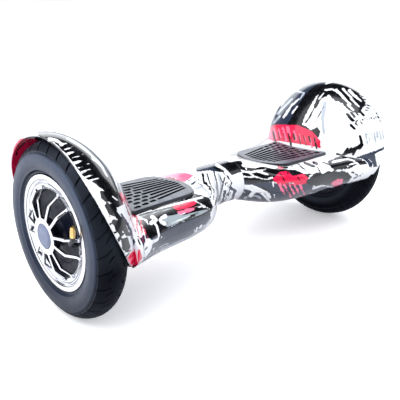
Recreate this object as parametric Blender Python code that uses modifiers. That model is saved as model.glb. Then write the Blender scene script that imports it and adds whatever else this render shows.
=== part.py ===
"""Self balancing hoverboard with ten-inch pneumatic wheels.

Two body halves twist against each other on a pivot tube in the neck. Each half carries a hub motor
wheel under a domed wheel arch, a rubber foot mat and the electronics of its side.

Frame: X along the axles, -Y forward, +Z up, origin on the ground midway between the wheels.
The half at +X is named right, as seen by someone standing in front of the board. Metres.
Pieces that exist on both sides are drawn with x as the distance from the middle, and `side`
(-1 left, 1 right) places them.
"""
import math
from bisect import bisect_right

import bmesh
import bpy
from mathutils import Matrix, Vector

# ---------------------------------------------------------------- driving dimensions
TYRE_R = 0.127            # ten-inch tyre, outside radius
TYRE_W = 0.0516           # tyre section width
TYRE_H = 0.026            # half height of the oval tyre section
AXLE_Z = TYRE_R           # axle height
AXLE_R = 0.008
WHEEL_X = 0.289           # tyre centre plane from the middle
GAP = 0.0003              # gap between neighbouring pieces
SKIN = 0.003              # shell wall

PARTING_Z = 0.1100        # parting plane between top and bottom shells
NECK_END = {-1: 0.0105, 1: 0.0285}   # where each side's shell starts, at the neck
NECK_R = 0.0355
WALL_IN, WALL_OUT = 0.2505, 0.2535   # wall between the body and the wheel arch
BODY_END = 0.262

DOME_R = 0.1378           # wheel arch, greatest outside radius
DOME_MAX_X = 0.300        # where that radius is reached
DOME_TIP_X = 0.2133       # where the arch's surface would meet the axle line
DOME_POWER = 1.9
DOME_START = 0.0002       # the turned profiles start this far outboard of the tip
ARCH_EDGE_X = 0.311       # arch edge at the top of the wheel
ARCH_EDGE_R = 0.1365
ARCH_SWEEP = 0.0296       # how far the edge has swept inboard at axle height

PLATFORM_Z = 0.147
MAT_TOP = 0.1505
MAT_BOTTOM = 0.1452
MAT_FLOOR = 0.1435        # floor of the mat's recess
MAT_CLEARANCE = 0.0006    # recess around the mat

PIVOT_R = 0.0160
CLAMP_X = 0.2245          # middle of the axle clamp's bolts
SCREWS = (("inner", 0.0985), ("outer", CLAMP_X))   # shell screws along the underside
SCREW_HOLE_R = 0.0022

SIDE_WORD = {-1: "left", 1: "right"}
FRONT_REAR = (("front", -1), ("rear", 1))

TURNED_SEG = 24           # facets of a turned part
FINE_SEG = 24             # facets of axles, tubes and their bores
TYRE_SEG = 32
ARCH_SEG = 36
SECTION_POINTS = 24       # points round a body section

# Sections of a body half: (distance from the middle, value)
HALF_WIDTH = [
    (.010, NECK_R), (.0285, NECK_R), (.040, .043), (.055, .058), (.070, .073), (.085, .085),
    (.105, .094), (.140, .101), (.180, .106), (.210, .112), (.235, .122), (.262, .133)]
TOP_Z = [
    (.010, .1625), (.030, .1625), (.045, .161), (.060, .157), (.075, .152), (.090, .149),
    (.110, .1475), (.140, PLATFORM_Z), (.262, PLATFORM_Z)]
BOTTOM_Z = [
    (.010, .0915), (.0285, .0915), (.040, .088), (.055, .0835), (.070, .0795), (.085, .0770),
    (.105, .0755), (.140, .0745), (.200, .0755), (.235, .079), (.262, .083)]
MIDDLE_Z = [(.010, .127), (.262, .126)]
TOP_POWER = [(.010, 2.0), (.030, 2.0), (.060, 2.3), (.100, 3.0), (.262, 3.4)]
BOTTOM_POWER = [(.010, 2.0), (.030, 2.0), (.060, 2.1), (.100, 2.3), (.262, 2.5)]
TOP_WALL = [(.010, .003), (.060, .0035), (.085, .0085), (.105, .0070), (.140, .0055),
            (.262, .0055)]
# Lofted stations beyond the neck, distance from the middle
STATIONS = [.0285, .038, .050, .064, .078, .090, .105, .140, .180, .215, BODY_END]

# ---------------------------------------------------------------- scene
for old in list(bpy.data.objects):
    bpy.data.objects.remove(old, do_unlink=True)
PARTS = bpy.data.collections.new("self_balancing_hoverboard")
CUTTERS = bpy.data.collections.new("cutters")
for collection in (PARTS, CUTTERS):
    bpy.context.scene.collection.children.link(collection)


# ---------------------------------------------------------------- materials
def material(name, colour, roughness, metallic=0.0):
    made = bpy.data.materials.new(name)
    made.use_nodes = True
    shader = made.node_tree.nodes["Principled BSDF"]
    shader.inputs["Base Color"].default_value = (*colour, 1.0)
    shader.inputs["Roughness"].default_value = roughness
    shader.inputs["Metallic"].default_value = metallic
    made.diffuse_color = (*colour, 1.0)
    return made


SHELL = material("printed_shell", colour=(0.86, 0.85, 0.84), roughness=0.12)
SHELL_LOW = material("printed_shell_low", colour=(0.30, 0.31, 0.34), roughness=0.14)
TYRE = material("tyre_rubber", colour=(0.03, 0.03, 0.035), roughness=0.62)
RUBBER = material("black_rubber", colour=(0.02, 0.02, 0.022), roughness=0.7)
CHROME = material("polished_cover", colour=(0.88, 0.88, 0.9), roughness=0.12, metallic=1.0)
RIM = material("dark_rim", colour=(0.03, 0.03, 0.04), roughness=0.35, metallic=0.6)
CAST = material("cast_aluminium", colour=(0.55, 0.56, 0.58), roughness=0.5, metallic=1.0)
STEEL = material("steel", colour=(0.5, 0.5, 0.52), roughness=0.3, metallic=1.0)
CAP = material("hub_cap_grey", colour=(0.24, 0.27, 0.36), roughness=0.5)
BRASS = material("brass", colour=(0.78, 0.52, 0.18), roughness=0.28, metallic=1.0)
COPPER = material("copper_winding", colour=(0.55, 0.24, 0.10), roughness=0.45, metallic=0.8)
BOARD = material("circuit_board", colour=(0.02, 0.16, 0.08), roughness=0.5)
PACK = material("battery_wrap", colour=(0.03, 0.10, 0.35), roughness=0.4)
BRONZE = material("bush_bronze", colour=(0.50, 0.35, 0.18), roughness=0.4, metallic=1.0)


# ---------------------------------------------------------------- numbers and outlines
def follow(x, rows):
    """Smooth monotone curve through a table of (x, value), level beyond its ends."""
    places, values = zip(*rows)
    if x <= places[0]:
        return values[0]
    if x >= places[-1]:
        return values[-1]
    slopes = [(values[i + 1] - values[i]) / (places[i + 1] - places[i])
              for i in range(len(places) - 1)]
    tangents = [slopes[0]]
    for before, after in zip(slopes, slopes[1:]):
        turns = before * after <= 0
        tangents.append(0.0 if turns else 2 * before * after / (before + after))
    tangents.append(slopes[-1])
    i = bisect_right(places, x) - 1
    step = places[i + 1] - places[i]
    t = (x - places[i]) / step
    return ((2 * t**3 - 3 * t**2 + 1) * values[i]
            + (t**3 - 2 * t**2 + t) * step * tangents[i]
            + (-2 * t**3 + 3 * t**2) * values[i + 1]
            + (t**3 - t**2) * step * tangents[i + 1])


def clamp_unit(value):
    return max(-1, min(1, value))


def mirrored(side, outline):
    return [(side * x, y) for x, y in outline]


def polar(radius, angle):
    return (radius * math.cos(angle), radius * math.sin(angle))


def arc(radius, count, start, end):
    """Points from start to end, both included."""
    return [polar(radius, start + (end - start) * i / (count - 1)) for i in range(count)]


def circle(radius, count, start=0.0):
    return [polar(radius, start + math.tau * i / count) for i in range(count)]


# ---------------------------------------------------------------- building helpers
def keep(obj, mat, helper=False):
    """File an object. Without a material it is a helper: a guide for boolean modifiers."""
    if mat:
        obj.data.materials.append(mat)
    if helper or not mat:
        CUTTERS.objects.link(obj)
        obj.hide_render = True
        obj.display_type = "WIRE"
    else:
        PARTS.objects.link(obj)
    return obj


def from_bmesh(name, bm, mat, smooth=False, helper=False):
    bmesh.ops.recalc_face_normals(bm, faces=bm.faces)
    mesh = bpy.data.meshes.new(name)
    bm.to_mesh(mesh)
    bm.free()
    if smooth:
        mesh.shade_smooth()
        mesh.set_sharp_from_angle(angle=math.radians(35))
    return keep(bpy.data.objects.new(name, mesh), mat, helper)


def box(name, low, high, mat=None, side=1, bevel=0.0):
    low, high = Vector(low), Vector(high)
    bm = bmesh.new()
    bmesh.ops.create_cube(bm, size=1.0, matrix=Matrix.Diagonal((*(high - low), 1.0)))
    obj = from_bmesh(name, bm, mat)
    obj.location = (low + high) / 2
    obj.location.x *= side
    if bevel:
        mod = obj.modifiers.new("edges", "BEVEL")
        mod.width, mod.segments = bevel, 1
    return obj


def cylinder(name, radius, low, high, at, axis="Z", mat=None, side=1, seg=16, top=None):
    """Cylinder from low to high along an axis, at the two other coordinates.

    `side` applies to one along X; `top` is the radius of its high end where that differs.
    """
    bm = bmesh.new()
    bmesh.ops.create_cone(bm, cap_ends=True, segments=seg, radius1=radius,
                          radius2=radius if top is None else top, depth=high - low)
    obj = from_bmesh(name, bm, mat, smooth=mat is not None)
    middle = (low + high) / 2
    if axis == "Z":
        obj.location = (*at, middle)
    else:
        obj.location = (side * middle, *at)
        obj.rotation_euler = (0, math.radians(90), 0)
    return obj


def axle_frame(name, side, x):
    """Empty on an axle line whose +Z points outboard, +Y up."""
    empty = bpy.data.objects.new(name, None)
    empty.empty_display_size = 0.03
    PARTS.objects.link(empty)
    turn = Matrix(((0, 0, side), (side, 0, 0), (0, 1, 0)))
    empty.matrix_world = Matrix.Translation((side * x, 0, AXLE_Z)) @ turn.to_4x4()
    return empty


def lathe(name, profile, parent, mat=None, steps=TURNED_SEG, closed=True, phase=0.0,
          helper=False):
    """Turned part: profile of (radius, distance outboard) spun about the parent's axis."""
    area = sum(a[0] * b[1] - b[0] * a[1] for a, b in zip(profile, profile[1:] + profile[:1]))
    if area > 0:
        profile = profile[::-1]
    edges = [(i, i + 1) for i in range(len(profile) - 1)]
    if closed:
        edges.append((len(profile) - 1, 0))
    mesh = bpy.data.meshes.new(name)
    mesh.from_pydata([(radius, 0, out) for radius, out in profile], edges, [])
    obj = keep(bpy.data.objects.new(name, mesh), mat, helper)
    obj.parent = parent
    obj.rotation_euler = (0, 0, phase)
    mod = obj.modifiers.new("turn", "SCREW")
    mod.axis, mod.angle = "Z", math.tau
    mod.steps = mod.render_steps = steps
    mod.use_merge_vertices, mod.merge_threshold = True, 0.00001
    mod.use_smooth_shade = False
    return obj


def spindle(name, points, parent, mat=None, steps=TURNED_SEG, helper=False):
    """Solid turned part: its profile is closed with flat ends on the axis."""
    profile = [(0.0, points[0][1])] + points + [(0.0, points[-1][1])]
    return lathe(name, profile, parent, mat, steps, closed=False, helper=helper)


def boolean(obj, operation, *others):
    for other in others:
        mod = obj.modifiers.new(operation.lower(), "BOOLEAN")
        mod.operation, mod.object, mod.solver = operation, other, "EXACT"


def cut(obj, *others):
    boolean(obj, "DIFFERENCE", *others)


def join(obj, *others):
    boolean(obj, "UNION", *others)


def add_line(curve, points, cyclic=False):
    spline = curve.splines.new("POLY")
    spline.points.add(len(points) - 1)
    for point, place in zip(spline.points, points):
        point.co = (*place, 1)
    spline.use_cyclic_u = cyclic


def curve_bmesh(curve):
    """Evaluate a curve and weld the result into closed solids."""
    guide = bpy.data.objects.new(curve.name + "_guide", curve)
    CUTTERS.objects.link(guide)
    graph = bpy.context.evaluated_depsgraph_get()
    mesh = bpy.data.meshes.new_from_object(guide.evaluated_get(graph))
    bpy.data.objects.remove(guide, do_unlink=True)
    bm = bmesh.new()
    bm.from_mesh(mesh)
    bpy.data.meshes.remove(mesh)
    bmesh.ops.remove_doubles(bm, verts=bm.verts, dist=0.000002)
    return bm


def plate(name, outlines, thickness, mat=None, z=0.0):
    """Flat piece from 2D outlines, the later ones being its holes; z is its middle."""
    curve = bpy.data.curves.new(name, "CURVE")
    curve.dimensions, curve.fill_mode = "2D", "BOTH"
    curve.extrude = thickness / 2
    for outline in outlines:
        add_line(curve, [(x, y, 0) for x, y in outline], cyclic=True)
    bm = curve_bmesh(curve)
    bmesh.ops.translate(bm, verts=bm.verts, vec=(0, 0, z))
    return from_bmesh(name, bm, mat)


def wire(name, points, radius, mat, parent=None):
    """Round bar or cable along a polyline."""
    curve = bpy.data.curves.new(name, "CURVE")
    curve.dimensions = "3D"
    curve.bevel_depth, curve.bevel_resolution = radius, 2
    curve.use_fill_caps = True
    add_line(curve, points)
    obj = from_bmesh(name, curve_bmesh(curve), mat, smooth=True)
    obj.parent = parent
    return obj


# ---------------------------------------------------------------- body surfaces
def body_section(x, inner):
    """(y, z) points of one body section, a superellipse with its own top and bottom."""
    half_width = follow(x, HALF_WIDTH)
    top, bottom, middle = follow(x, TOP_Z), follow(x, BOTTOM_Z), follow(x, MIDDLE_Z)
    top_power, bottom_power = follow(x, TOP_POWER), follow(x, BOTTOM_POWER)
    if inner:
        half_width -= SKIN
        top -= follow(x, TOP_WALL)
        bottom += SKIN
    ring = []
    for i in range(SECTION_POINTS):
        across, up = polar(1, math.tau * i / SECTION_POINTS)
        power = 2 / (top_power if up >= 0 else bottom_power)
        height = top - middle if up >= 0 else middle - bottom
        ring.append((math.copysign(abs(across) ** power, across) * half_width,
                     middle + math.copysign(abs(up) ** power, up) * height))
    return ring


def loft(name, side, stations, mat, inner=False):
    """Solid through the body sections; the inner one is the helper that hollows the shells."""
    bm = bmesh.new()
    rings = [[bm.verts.new((side * x, y, z)) for y, z in body_section(x, inner)]
             for x in stations]
    for near, far in zip(rings, rings[1:]):
        for i in range(len(near)):
            j = (i + 1) % len(near)
            bm.faces.new((near[i], near[j], far[j], far[i]))
    bm.faces.new(rings[0])
    bm.faces.new(rings[-1])
    return from_bmesh(name, bm, mat, helper=inner)


def dome_radius(x, inset):
    """Radius of the wheel arch at a distance from the middle."""
    top, tip = DOME_R - inset, DOME_TIP_X + inset
    if x >= DOME_MAX_X:
        share = (x - DOME_MAX_X) / (ARCH_EDGE_X - DOME_MAX_X)
        return top - (DOME_R - ARCH_EDGE_R) * share ** 2
    share = (DOME_MAX_X - x) / (DOME_MAX_X - tip)
    return top * (1 - share**DOME_POWER) ** (1 / DOME_POWER)


def dome_profile(start, stop, inset, count):
    """Arch profile between two stations, stepping evenly round the curve."""
    length = DOME_MAX_X - (DOME_TIP_X + inset)
    first = math.acos((DOME_MAX_X - start) / length)
    last = math.acos((DOME_MAX_X - min(stop, DOME_MAX_X)) / length)
    points = []
    for i in range(count):
        x = DOME_MAX_X - length * math.cos(first + (last - first) * i / (count - 1))
        points.append((dome_radius(x, inset), x))
    if stop > DOME_MAX_X:
        points.append((dome_radius(stop, inset), stop))
    return points


def arch_edge(z):
    """How far out the arch reaches at a height."""
    return ARCH_EDGE_X - ARCH_SWEEP * (1 - (z - AXLE_Z) / 0.1355) ** 2.23


def mat_outline(side, grow=0.0):
    """Foot mat in plan: elliptic inner end, nearly straight sides, outer end along the arch."""
    inner_x, inner_length, inner_half = 0.083, 0.034, 0.060
    outer_half, corner_x, corner_y, corner_drop = 0.0625, 0.006, 0.0005, 0.004
    arch_clearance = 0.0055
    centre_x, taper = 0.155, 0.02     # growth fades out this close to the centre lines

    def end_x(y):
        radius = math.hypot(y, PLATFORM_Z - AXLE_Z)
        rise = (1 - (radius / DOME_R) ** DOME_POWER) ** (1 / DOME_POWER)
        return DOME_MAX_X - (DOME_MAX_X - DOME_TIP_X) * rise - arch_clearance

    half = []
    for i in range(7):      # a quarter of the inner end's ellipse
        angle = math.pi / 2 * i / 6
        half.append((inner_x + inner_length - inner_length * math.cos(angle),
                     inner_half * math.sin(angle)))
    half.append((end_x(outer_half) - corner_x, outer_half - corner_y))
    for i in range(6):      # outer end, from the corner to the middle
        y = outer_half * (1 - i / 5) - (corner_drop if i == 0 else 0)
        half.append((end_x(y), y))
    whole = half + [(x, -y) for x, y in reversed(half[1:-1])]
    return [(side * (x + grow * clamp_unit((x - centre_x) / taper)),
             y + grow * clamp_unit(y / taper)) for x, y in whole]


# ---------------------------------------------------------------- shells
def wheel_well(word, axis):
    """Helper: the room of the wheel, open outboard."""
    beyond_x = 0.345
    profile = dome_profile(WALL_OUT, ARCH_EDGE_X, SKIN, 5)
    profile.append((profile[-1][0], beyond_x))
    return spindle(word + "_wheel_well", profile, axis, steps=ARCH_SEG)


def arch_sweep(word, side):
    """Helper: everything outboard of the swept arch edge."""
    low_z, rise, beyond_z, beyond_x = 0.04, 0.222, 0.30, 0.36
    points = [(arch_edge(z), z) for z in [low_z + rise * i / 11 for i in range(12)]]
    points += [(ARCH_EDGE_X - 0.0004, beyond_z), (beyond_x, beyond_z), (beyond_x, low_z)]
    sweep = plate(word + "_arch_sweep", [mirrored(side, points)], 0.40)
    sweep.rotation_euler = (math.radians(90), 0, 0)
    return sweep


def side_block(name, side, low, high):
    """Helper: block round one half of the board between two heights."""
    return box(name, (-0.001, -0.2, low), (0.4, 0.2, high), side=side)


def top_shell(word, side, axis, stations, inner, well, sweep):
    """Body and arch in one moulding, above the parting plane."""
    arch = spindle(word + "_arch_outer",
                   dome_profile(DOME_TIP_X + DOME_START, ARCH_EDGE_X, 0.0, 8),
                   axis, SHELL, ARCH_SEG, helper=True)
    room = spindle(word + "_arch_room",
                   dome_profile(DOME_TIP_X + SKIN + DOME_START, WALL_IN, SKIN, 5),
                   axis, steps=ARCH_SEG)
    axle_hole = cylinder(word + "_axle_hole", 0.0115, 0.24, BODY_END, (0, AXLE_Z), "X",
                         side=side)
    recess_depth = 0.02
    recess = plate(word + "_mat_recess", [mat_outline(side, MAT_CLEARANCE)], recess_depth,
                   z=MAT_FLOOR + recess_depth / 2)
    shell = loft(word + "_top_shell", side, stations, SHELL)
    join(shell, arch)
    boolean(shell, "INTERSECT", side_block(word + "_above", side, PARTING_Z + GAP / 2, 0.32))
    cut(shell, inner, room, well, sweep, axle_hole, recess)


def bottom_shell(word, side, stations, inner, well, sweep):
    """The tray below the parting plane."""
    tray = loft(word + "_bottom_shell", side, stations, SHELL_LOW)
    boolean(tray, "INTERSECT", side_block(word + "_below", side, 0.0, PARTING_Z - GAP / 2))
    cut(tray, inner, well, sweep)
    return tray


def shell_screws(word, side, tray):
    """Two screws, from below into the chassis."""
    for where, x in SCREWS:
        at = (side * x, 0)
        base = follow(x, BOTTOM_Z) - 0.0008
        name = f"{word}_{where}_"
        cut(tray, cylinder(name + "screw_hole", SCREW_HOLE_R, base - 0.01, base + 0.010, at,
                           seg=12))
        screw = cylinder(name + "shell_screw", 0.0018, base - 0.0005, 0.116, at, mat=STEEL,
                         seg=10)
        join(screw, cylinder(name + "screw_head", 0.0042, base - 0.0024, base - 0.0002, at,
                             seg=12, top=0.0038))


# ---------------------------------------------------------------- chassis and axle
# Chassis plate in plan: (distance from the middle, y)
CHASSIS_OUTLINE = [
    (.046, -.024), (.066, -.032), (.095, -.050), (.232, -.055), (.236, -.051),
    (.236, .051), (.232, .055), (.095, .050), (.066, .032), (.046, .024)]
CHASSIS_Z, CHASSIS_THICK = 0.115, 0.005
JOINT_Z = 0.1135          # ribs, cradle and bosses meet inside the plate at this height
SOCKET_BORE = {-1: PIVOT_R + 0.0004, 1: 0.0186}   # the right one also holds the bush
CLAMP_BOLT_Y = 0.0175

# One stator tooth: (radius, angle as a share of half the tooth pitch)
TOOTH = [(.0330, -.42), (.0485, -.30), (.0500, -.82), (.0552, -.80),
         (.0552, .80), (.0500, .82), (.0485, .30), (.0330, .42)]
TOOTH_COUNT = 12


def make_chassis(word, side, groove):
    """Plate, ribs, pivot socket, screw bosses and axle cradle in one casting."""
    chassis = plate(word + "_chassis", [mirrored(side, CHASSIS_OUTLINE)], CHASSIS_THICK, CAST,
                    z=CHASSIS_Z)

    def along_x(name, radius, low, high):
        return cylinder(f"{word}_{name}", radius, low, high, (0, AXLE_Z), "X", side=side,
                        seg=FINE_SEG)

    relief_x = 0.0660
    socket = along_x("socket", 0.0215, 0.0315, relief_x)
    bore = along_x("socket_bore", SOCKET_BORE[side], 0.020, relief_x + 0.0005)
    relief = along_x("socket_relief", 0.0218, relief_x, 0.0780)
    cradle = box(word + "_cradle", (.209, -.026, JOINT_Z), (.2375, .026, AXLE_Z - GAP),
                 side=side)
    ribs = [box(f"{word}_rib_{where}", (.097, low_y, .097), (.230, high_y, JOINT_Z), side=side)
            for where, low_y, high_y in (("front", -.0530, -.0495), ("rear", .0495, .0530))]
    bosses = [cylinder(f"{word}_{where}_boss", 0.0048, follow(x, BOTTOM_Z) + 0.0050, JOINT_Z,
                       (side * x, 0), seg=12) for where, x in SCREWS]
    join(chassis, socket, cradle, *ribs, *bosses)
    cut(chassis, bore, relief, groove)
    hole_top = {"inner": 0.119, "outer": 0.1172}    # the outer one is blind, under the axle
    for where, x in SCREWS:
        cut(chassis, cylinder(f"{word}_{where}_boss_hole", SCREW_HOLE_R, 0.070,
                              hole_top[where], (side * x, 0), seg=12))
    return chassis


def axle_clamp(word, side, chassis, groove):
    """Block over the axle and the two bolts that hold it to the chassis."""
    clamp = box(word + "_axle_clamp", (.211, -.0255, AXLE_Z), (.2365, .0255, .1402), STEEL,
                side=side, bevel=0.0015)
    cut(clamp, groove)
    for where, hand in FRONT_REAR:
        at = (side * CLAMP_X, hand * CLAMP_BOLT_Y)
        name = f"{word}_{where}_"
        way = cylinder(name + "bolt_way", 0.0031, 0.110, 0.150, at, seg=12)
        cut(clamp, way)
        cut(chassis, way)
        bolt = cylinder(name + "clamp_bolt", 0.0028, 0.1135, 0.1410, at, mat=STEEL, seg=10)
        join(bolt, cylinder(name + "bolt_head", 0.0052, 0.1405, 0.1440, at, seg=6))


def sensor_board(word, side):
    """Circuit board with two foot sensors and a chip."""
    board = box(word + "_sensor_board", (.108, -.036, .1178), (.186, .036, .1194), BOARD,
                side=side)
    for where, hand in FRONT_REAR:
        join(board, cylinder(f"{word}_foot_sensor_{where}", 0.008, .119, .1406,
                             (side * .150, hand * .024), seg=12))
    join(board, box(word + "_gyro_chip", (.122, -.006, .119), (.134, .006, .1225), side=side))


def make_axle(word, axis):
    shoulder_r, shoulder_x = .0052, WHEEL_X + .0075
    spindle(word + "_axle", [(AXLE_R, .202), (AXLE_R, WHEEL_X + .0065),
                             (shoulder_r, shoulder_x), (shoulder_r, WHEEL_X + .0205)],
            axis, STEEL, FINE_SEG)


def make_stator(word, side):
    half_pitch = math.pi / TOOTH_COUNT
    outline = []
    for k in range(TOOTH_COUNT):
        middle = math.tau * k / TOOTH_COUNT
        outline += [polar(radius, middle + half_pitch * share) for radius, share in TOOTH]
    axis = axle_frame(word + "_stator_axis", side, WHEEL_X)
    stator = plate(word + "_stator", [outline, circle(AXLE_R + GAP, 24)], 0.018, COPPER,
                   z=-0.006)
    stator.parent = axis


# ---------------------------------------------------------------- foot mats
# Faces of a block whose corners run through x, then y, then z
BLOCK_FACES = ((0, 1, 3, 2), (4, 6, 7, 5), (0, 4, 5, 1), (2, 3, 7, 6), (0, 2, 6, 4),
               (1, 5, 7, 3))


def foot_mat(word, side):
    """Rubber mat with nine grooves that fan out towards the wheel."""
    groove_half, groove_depth, above = 0.0026, 0.002, 0.004
    groove_ends = ((0.098, 0.0083), (0.207, 0.0128))     # (x, groove pitch there)
    mat = plate(word + "_foot_mat", [mat_outline(side)], MAT_TOP - MAT_BOTTOM, RUBBER,
                z=(MAT_TOP + MAT_BOTTOM) / 2)
    bm = bmesh.new()
    for k in range(-4, 5):
        corners = [bm.verts.new((side * x, pitch * k + across, z))
                   for x, pitch in groove_ends
                   for across in (-groove_half, groove_half)
                   for z in (MAT_TOP - groove_depth, MAT_TOP + above)]
        for face in BLOCK_FACES:
            bm.faces.new([corners[i] for i in face])
    cut(mat, from_bmesh(word + "_mat_grooves", bm, None))


# ---------------------------------------------------------------- neck
def neck():
    """Collar, pivot tube, bush, retaining ring and the cable through the tube."""
    axis = axle_frame("neck_axis", 1, 0.0)
    # Name, profile of (radius, x), material
    turned = (
        ("neck_collar", [(.0290, -.0165), (.0315, -.0165), (.0315, -.0097), (.0345, -.0097),
                         (.0353, .0278), (.0315, .0278), (.0315, .0345), (.0290, .0345)], SHELL),
        ("pivot_tube", [(.0130, -.0650), (PIVOT_R, -.0650), (PIVOT_R, .0700),
                        (.0130, .0700)], STEEL),
        ("pivot_bush", [(.0164, .0322), (.0182, .0322), (.0182, .0652), (.0164, .0652)], BRONZE),
        ("retaining_ring", [(.0163, .0664), (.0207, .0664), (.0207, .0682),
                            (.0163, .0682)], STEEL))
    for name, profile, mat in turned:
        lathe(name, profile, axis, mat)
    wire("link_cable", [(-.112, 0, .1235), (-.090, 0, .1245), (-.065, 0, AXLE_Z),
                        (.065, 0, AXLE_Z), (.090, 0, .1245), (.112, 0, .1235)], 0.0038, RUBBER)


# ---------------------------------------------------------------- electronics
BUTTON_AT, PORT_AT = (-.0680, -.026), (-.0680, .026)     # (x, y) on the left underside
HINGE_Y, HINGE_Z = PORT_AT[1] + .0136, .0825             # charge cap's hinge, behind the port


def battery_pack():
    box("battery_pack", (-.2050, -.0340, .0835), (-.1050, .0340, .1117), PACK, bevel=0.003)


def main_board():
    """Board in the right half, with a heat sink and two capacitors on its underside."""
    board = box("main_board", (.1050, -.0320, .1088), (.1950, .0320, .1104), BOARD)
    join(board, box("heat_sink", (.110, -.026, .1000), (.148, .026, .1090)))
    for where, y in (("front", -.014), ("rear", .006)):
        join(board, cylinder("capacitor_" + where, .0062, .156, .182, (y, .1030), "X", seg=14))


def power_button(tray):
    button = cylinder("power_button", 0.0065, .0795, .0950, BUTTON_AT, mat=RUBBER, seg=20)
    join(button, cylinder("button_collar", 0.0085, .0912, .0930, BUTTON_AT, seg=20))
    cut(tray, cylinder("button_hole", 0.0069, .07, .0908, BUTTON_AT, seg=20))


def charge_port(tray):
    """Round socket with a centre pin."""
    port = cylinder("charge_port", 0.0082, .0806, .0985, PORT_AT, mat=STEEL, seg=20)
    cut(port, cylinder("socket_bore", 0.0052, .07, .0925, PORT_AT, seg=16))
    join(port, cylinder("socket_pin", 0.0012, .0840, .0935, PORT_AT, seg=8))
    cut(tray, cylinder("port_hole", 0.0086, .07, .0960, PORT_AT, seg=20))


def charge_cap():
    """Rubber cap under the port, with a tab back to its hinge line."""
    port_x, port_y = PORT_AT
    hinge = bpy.data.objects.new("charge_cap_hinge", None)
    hinge.location = (port_x, HINGE_Y, HINGE_Z)
    PARTS.objects.link(hinge)
    cap = cylinder("charge_port_cap", 0.0095, .0770, .0788, PORT_AT, mat=RUBBER, seg=20)
    tab = box("cap_tab", (port_x - .0045, port_y + .006, .0771),
              (port_x + .0045, HINGE_Y + .0020, .0787))
    knuckle = box("cap_knuckle", (port_x - .0040, HINGE_Y - .0020, .0775),
                  (port_x + .0040, HINGE_Y + .0019, .0843))
    join(cap, tab, knuckle)
    for piece in (cap, tab, knuckle):
        piece.parent = hinge
        piece.location = piece.location - hinge.location


# ---------------------------------------------------------------- wheels
# Profiles are of (radius, distance outboard of the tyre's centre plane).
BEAD = [(.0762, .0108), (.0762, .0158), (.0819, .0158)]
OVAL_START_R = 0.0823     # where the tyre's oval begins, beyond the bead
TREAD_HALF = 0.0045       # half width of the flat tread
TYRE_INSIDE = [(.0790, .0150), (.0960, .0208), (.1110, .0180), (.1190, .0085)]

TUBE_CENTRE_R, TUBE_R, TUBE_WALL = 0.0985, 0.0150, 0.0016
TUBE_SIDES, TUBE_SEG = 7, 20

# Rim and rotor shell in one casting; its outboard plate is the floor of the cover's windows
RIM_PROFILE = [
    (.0615, .0180), (.0815, .0180), (.0815, .0162), (.0752, .0162), (.0690, .0070),
    (.0690, -.0070), (.0752, -.0162), (.0815, -.0162), (.0815, -.0180), (.0608, -.0180),
    (.0608, .0062), (.0090, .0062), (.0090, .0098), (.0134, .0098), (.0134, .0300),
    (.0172, .0300), (.0172, .0092), (.0615, .0092)]
# Other turned motor parts: name, profile, material, facets
MOTOR_PARTS = (
    ("magnet_ring", [(.0575, -.0165), (.0604, -.0165), (.0604, .0035), (.0575, .0035)],
     STEEL, TURNED_SEG),
    ("outer_bearing", [(.0055, .0102), (.0131, .0102), (.0131, .0180), (.0055, .0180)],
     STEEL, 20),
    ("inner_bearing", [(.0083, -.0280), (.0172, -.0280), (.0172, -.0200), (.0083, -.0200)],
     STEEL, 20),
    ("motor_cover", [(.0175, -.0183), (.0760, -.0183), (.0760, -.0205), (.0600, -.0215),
                     (.0215, -.0225), (.0215, -.0290), (.0175, -.0290)], RIM, TURNED_SEG))
HUB_CAP_PROFILE = [(.0130, .0306), (.0168, .0308), (.0171, .0330), (.0160, .0346)]

SPOKE_RADII = R_HUB, R_KNEE, R_RING = 0.0240, 0.0500, 0.0625
SPOKE_SPREAD = (14.8, 12.6, 11.2)           # degrees from a pair's middle, at those radii
SPOKE_PAIRS, FIRST_PAIR = 6, 57             # count, and the first pair's angle in degrees
SPOKE_HALF = 0.0023                         # half a spoke's width
COVER_HUB, COVER_KNEE = 0.0128, 0.0103      # how far hub and knees stand outboard of the ring
COVER_Z, COVER_THICK = 0.0195, 0.0024
INNER_FACE_RISE = 0.88                      # the inboard face rises less than the outboard one

VALVE_ANGLE = math.radians(-1.5)
VALVE_OUT = 0.0136                          # valve hole, outboard of the tyre's centre plane


def ring_point(radius, angle, out):
    return (*polar(radius, angle), out)


def radial_cutter(name, axis, radius, depth, place, angle):
    """Helper: cylinder that points away from the wheel's axis."""
    cutter = cylinder(name, radius, 0, depth, (0, 0), seg=12 if depth > 0.01 else 8)
    cutter.parent = axis
    cutter.location = place
    cutter.rotation_euler = (0, math.radians(90), angle)
    return cutter


def tyre(word, axis):
    """Oval section, open between its beads; the facets' middles touch the ground."""
    centre, half_width = TYRE_R - TYRE_H, TYRE_W / 2
    start = math.asin((OVAL_START_R - centre) / TYRE_H)
    outer = list(BEAD)
    for i in range(5):
        angle = start + (math.pi / 2 - start) * i / 5
        outer.append((centre + TYRE_H * math.sin(angle), half_width * math.cos(angle)))
    outer.append((TYRE_R, TREAD_HALF))
    loop = outer + [(radius, -out) for radius, out in reversed(outer)]
    loop += [(radius, -out) for radius, out in TYRE_INSIDE] + TYRE_INSIDE[::-1]
    to_corner = 1 / math.cos(math.pi / TYRE_SEG)     # from a facet's middle to its corners
    lathe(word + "_tyre", [(radius * to_corner, out) for radius, out in loop], axis, TYRE,
          TYRE_SEG, phase=math.pi / 2 + math.pi / TYRE_SEG)


def tube_section(radius):
    angles = [math.tau * i / TUBE_SIDES for i in range(TUBE_SIDES)]
    return [(TUBE_CENTRE_R + radius * math.sin(a), radius * math.cos(a)) for a in angles]


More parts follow.
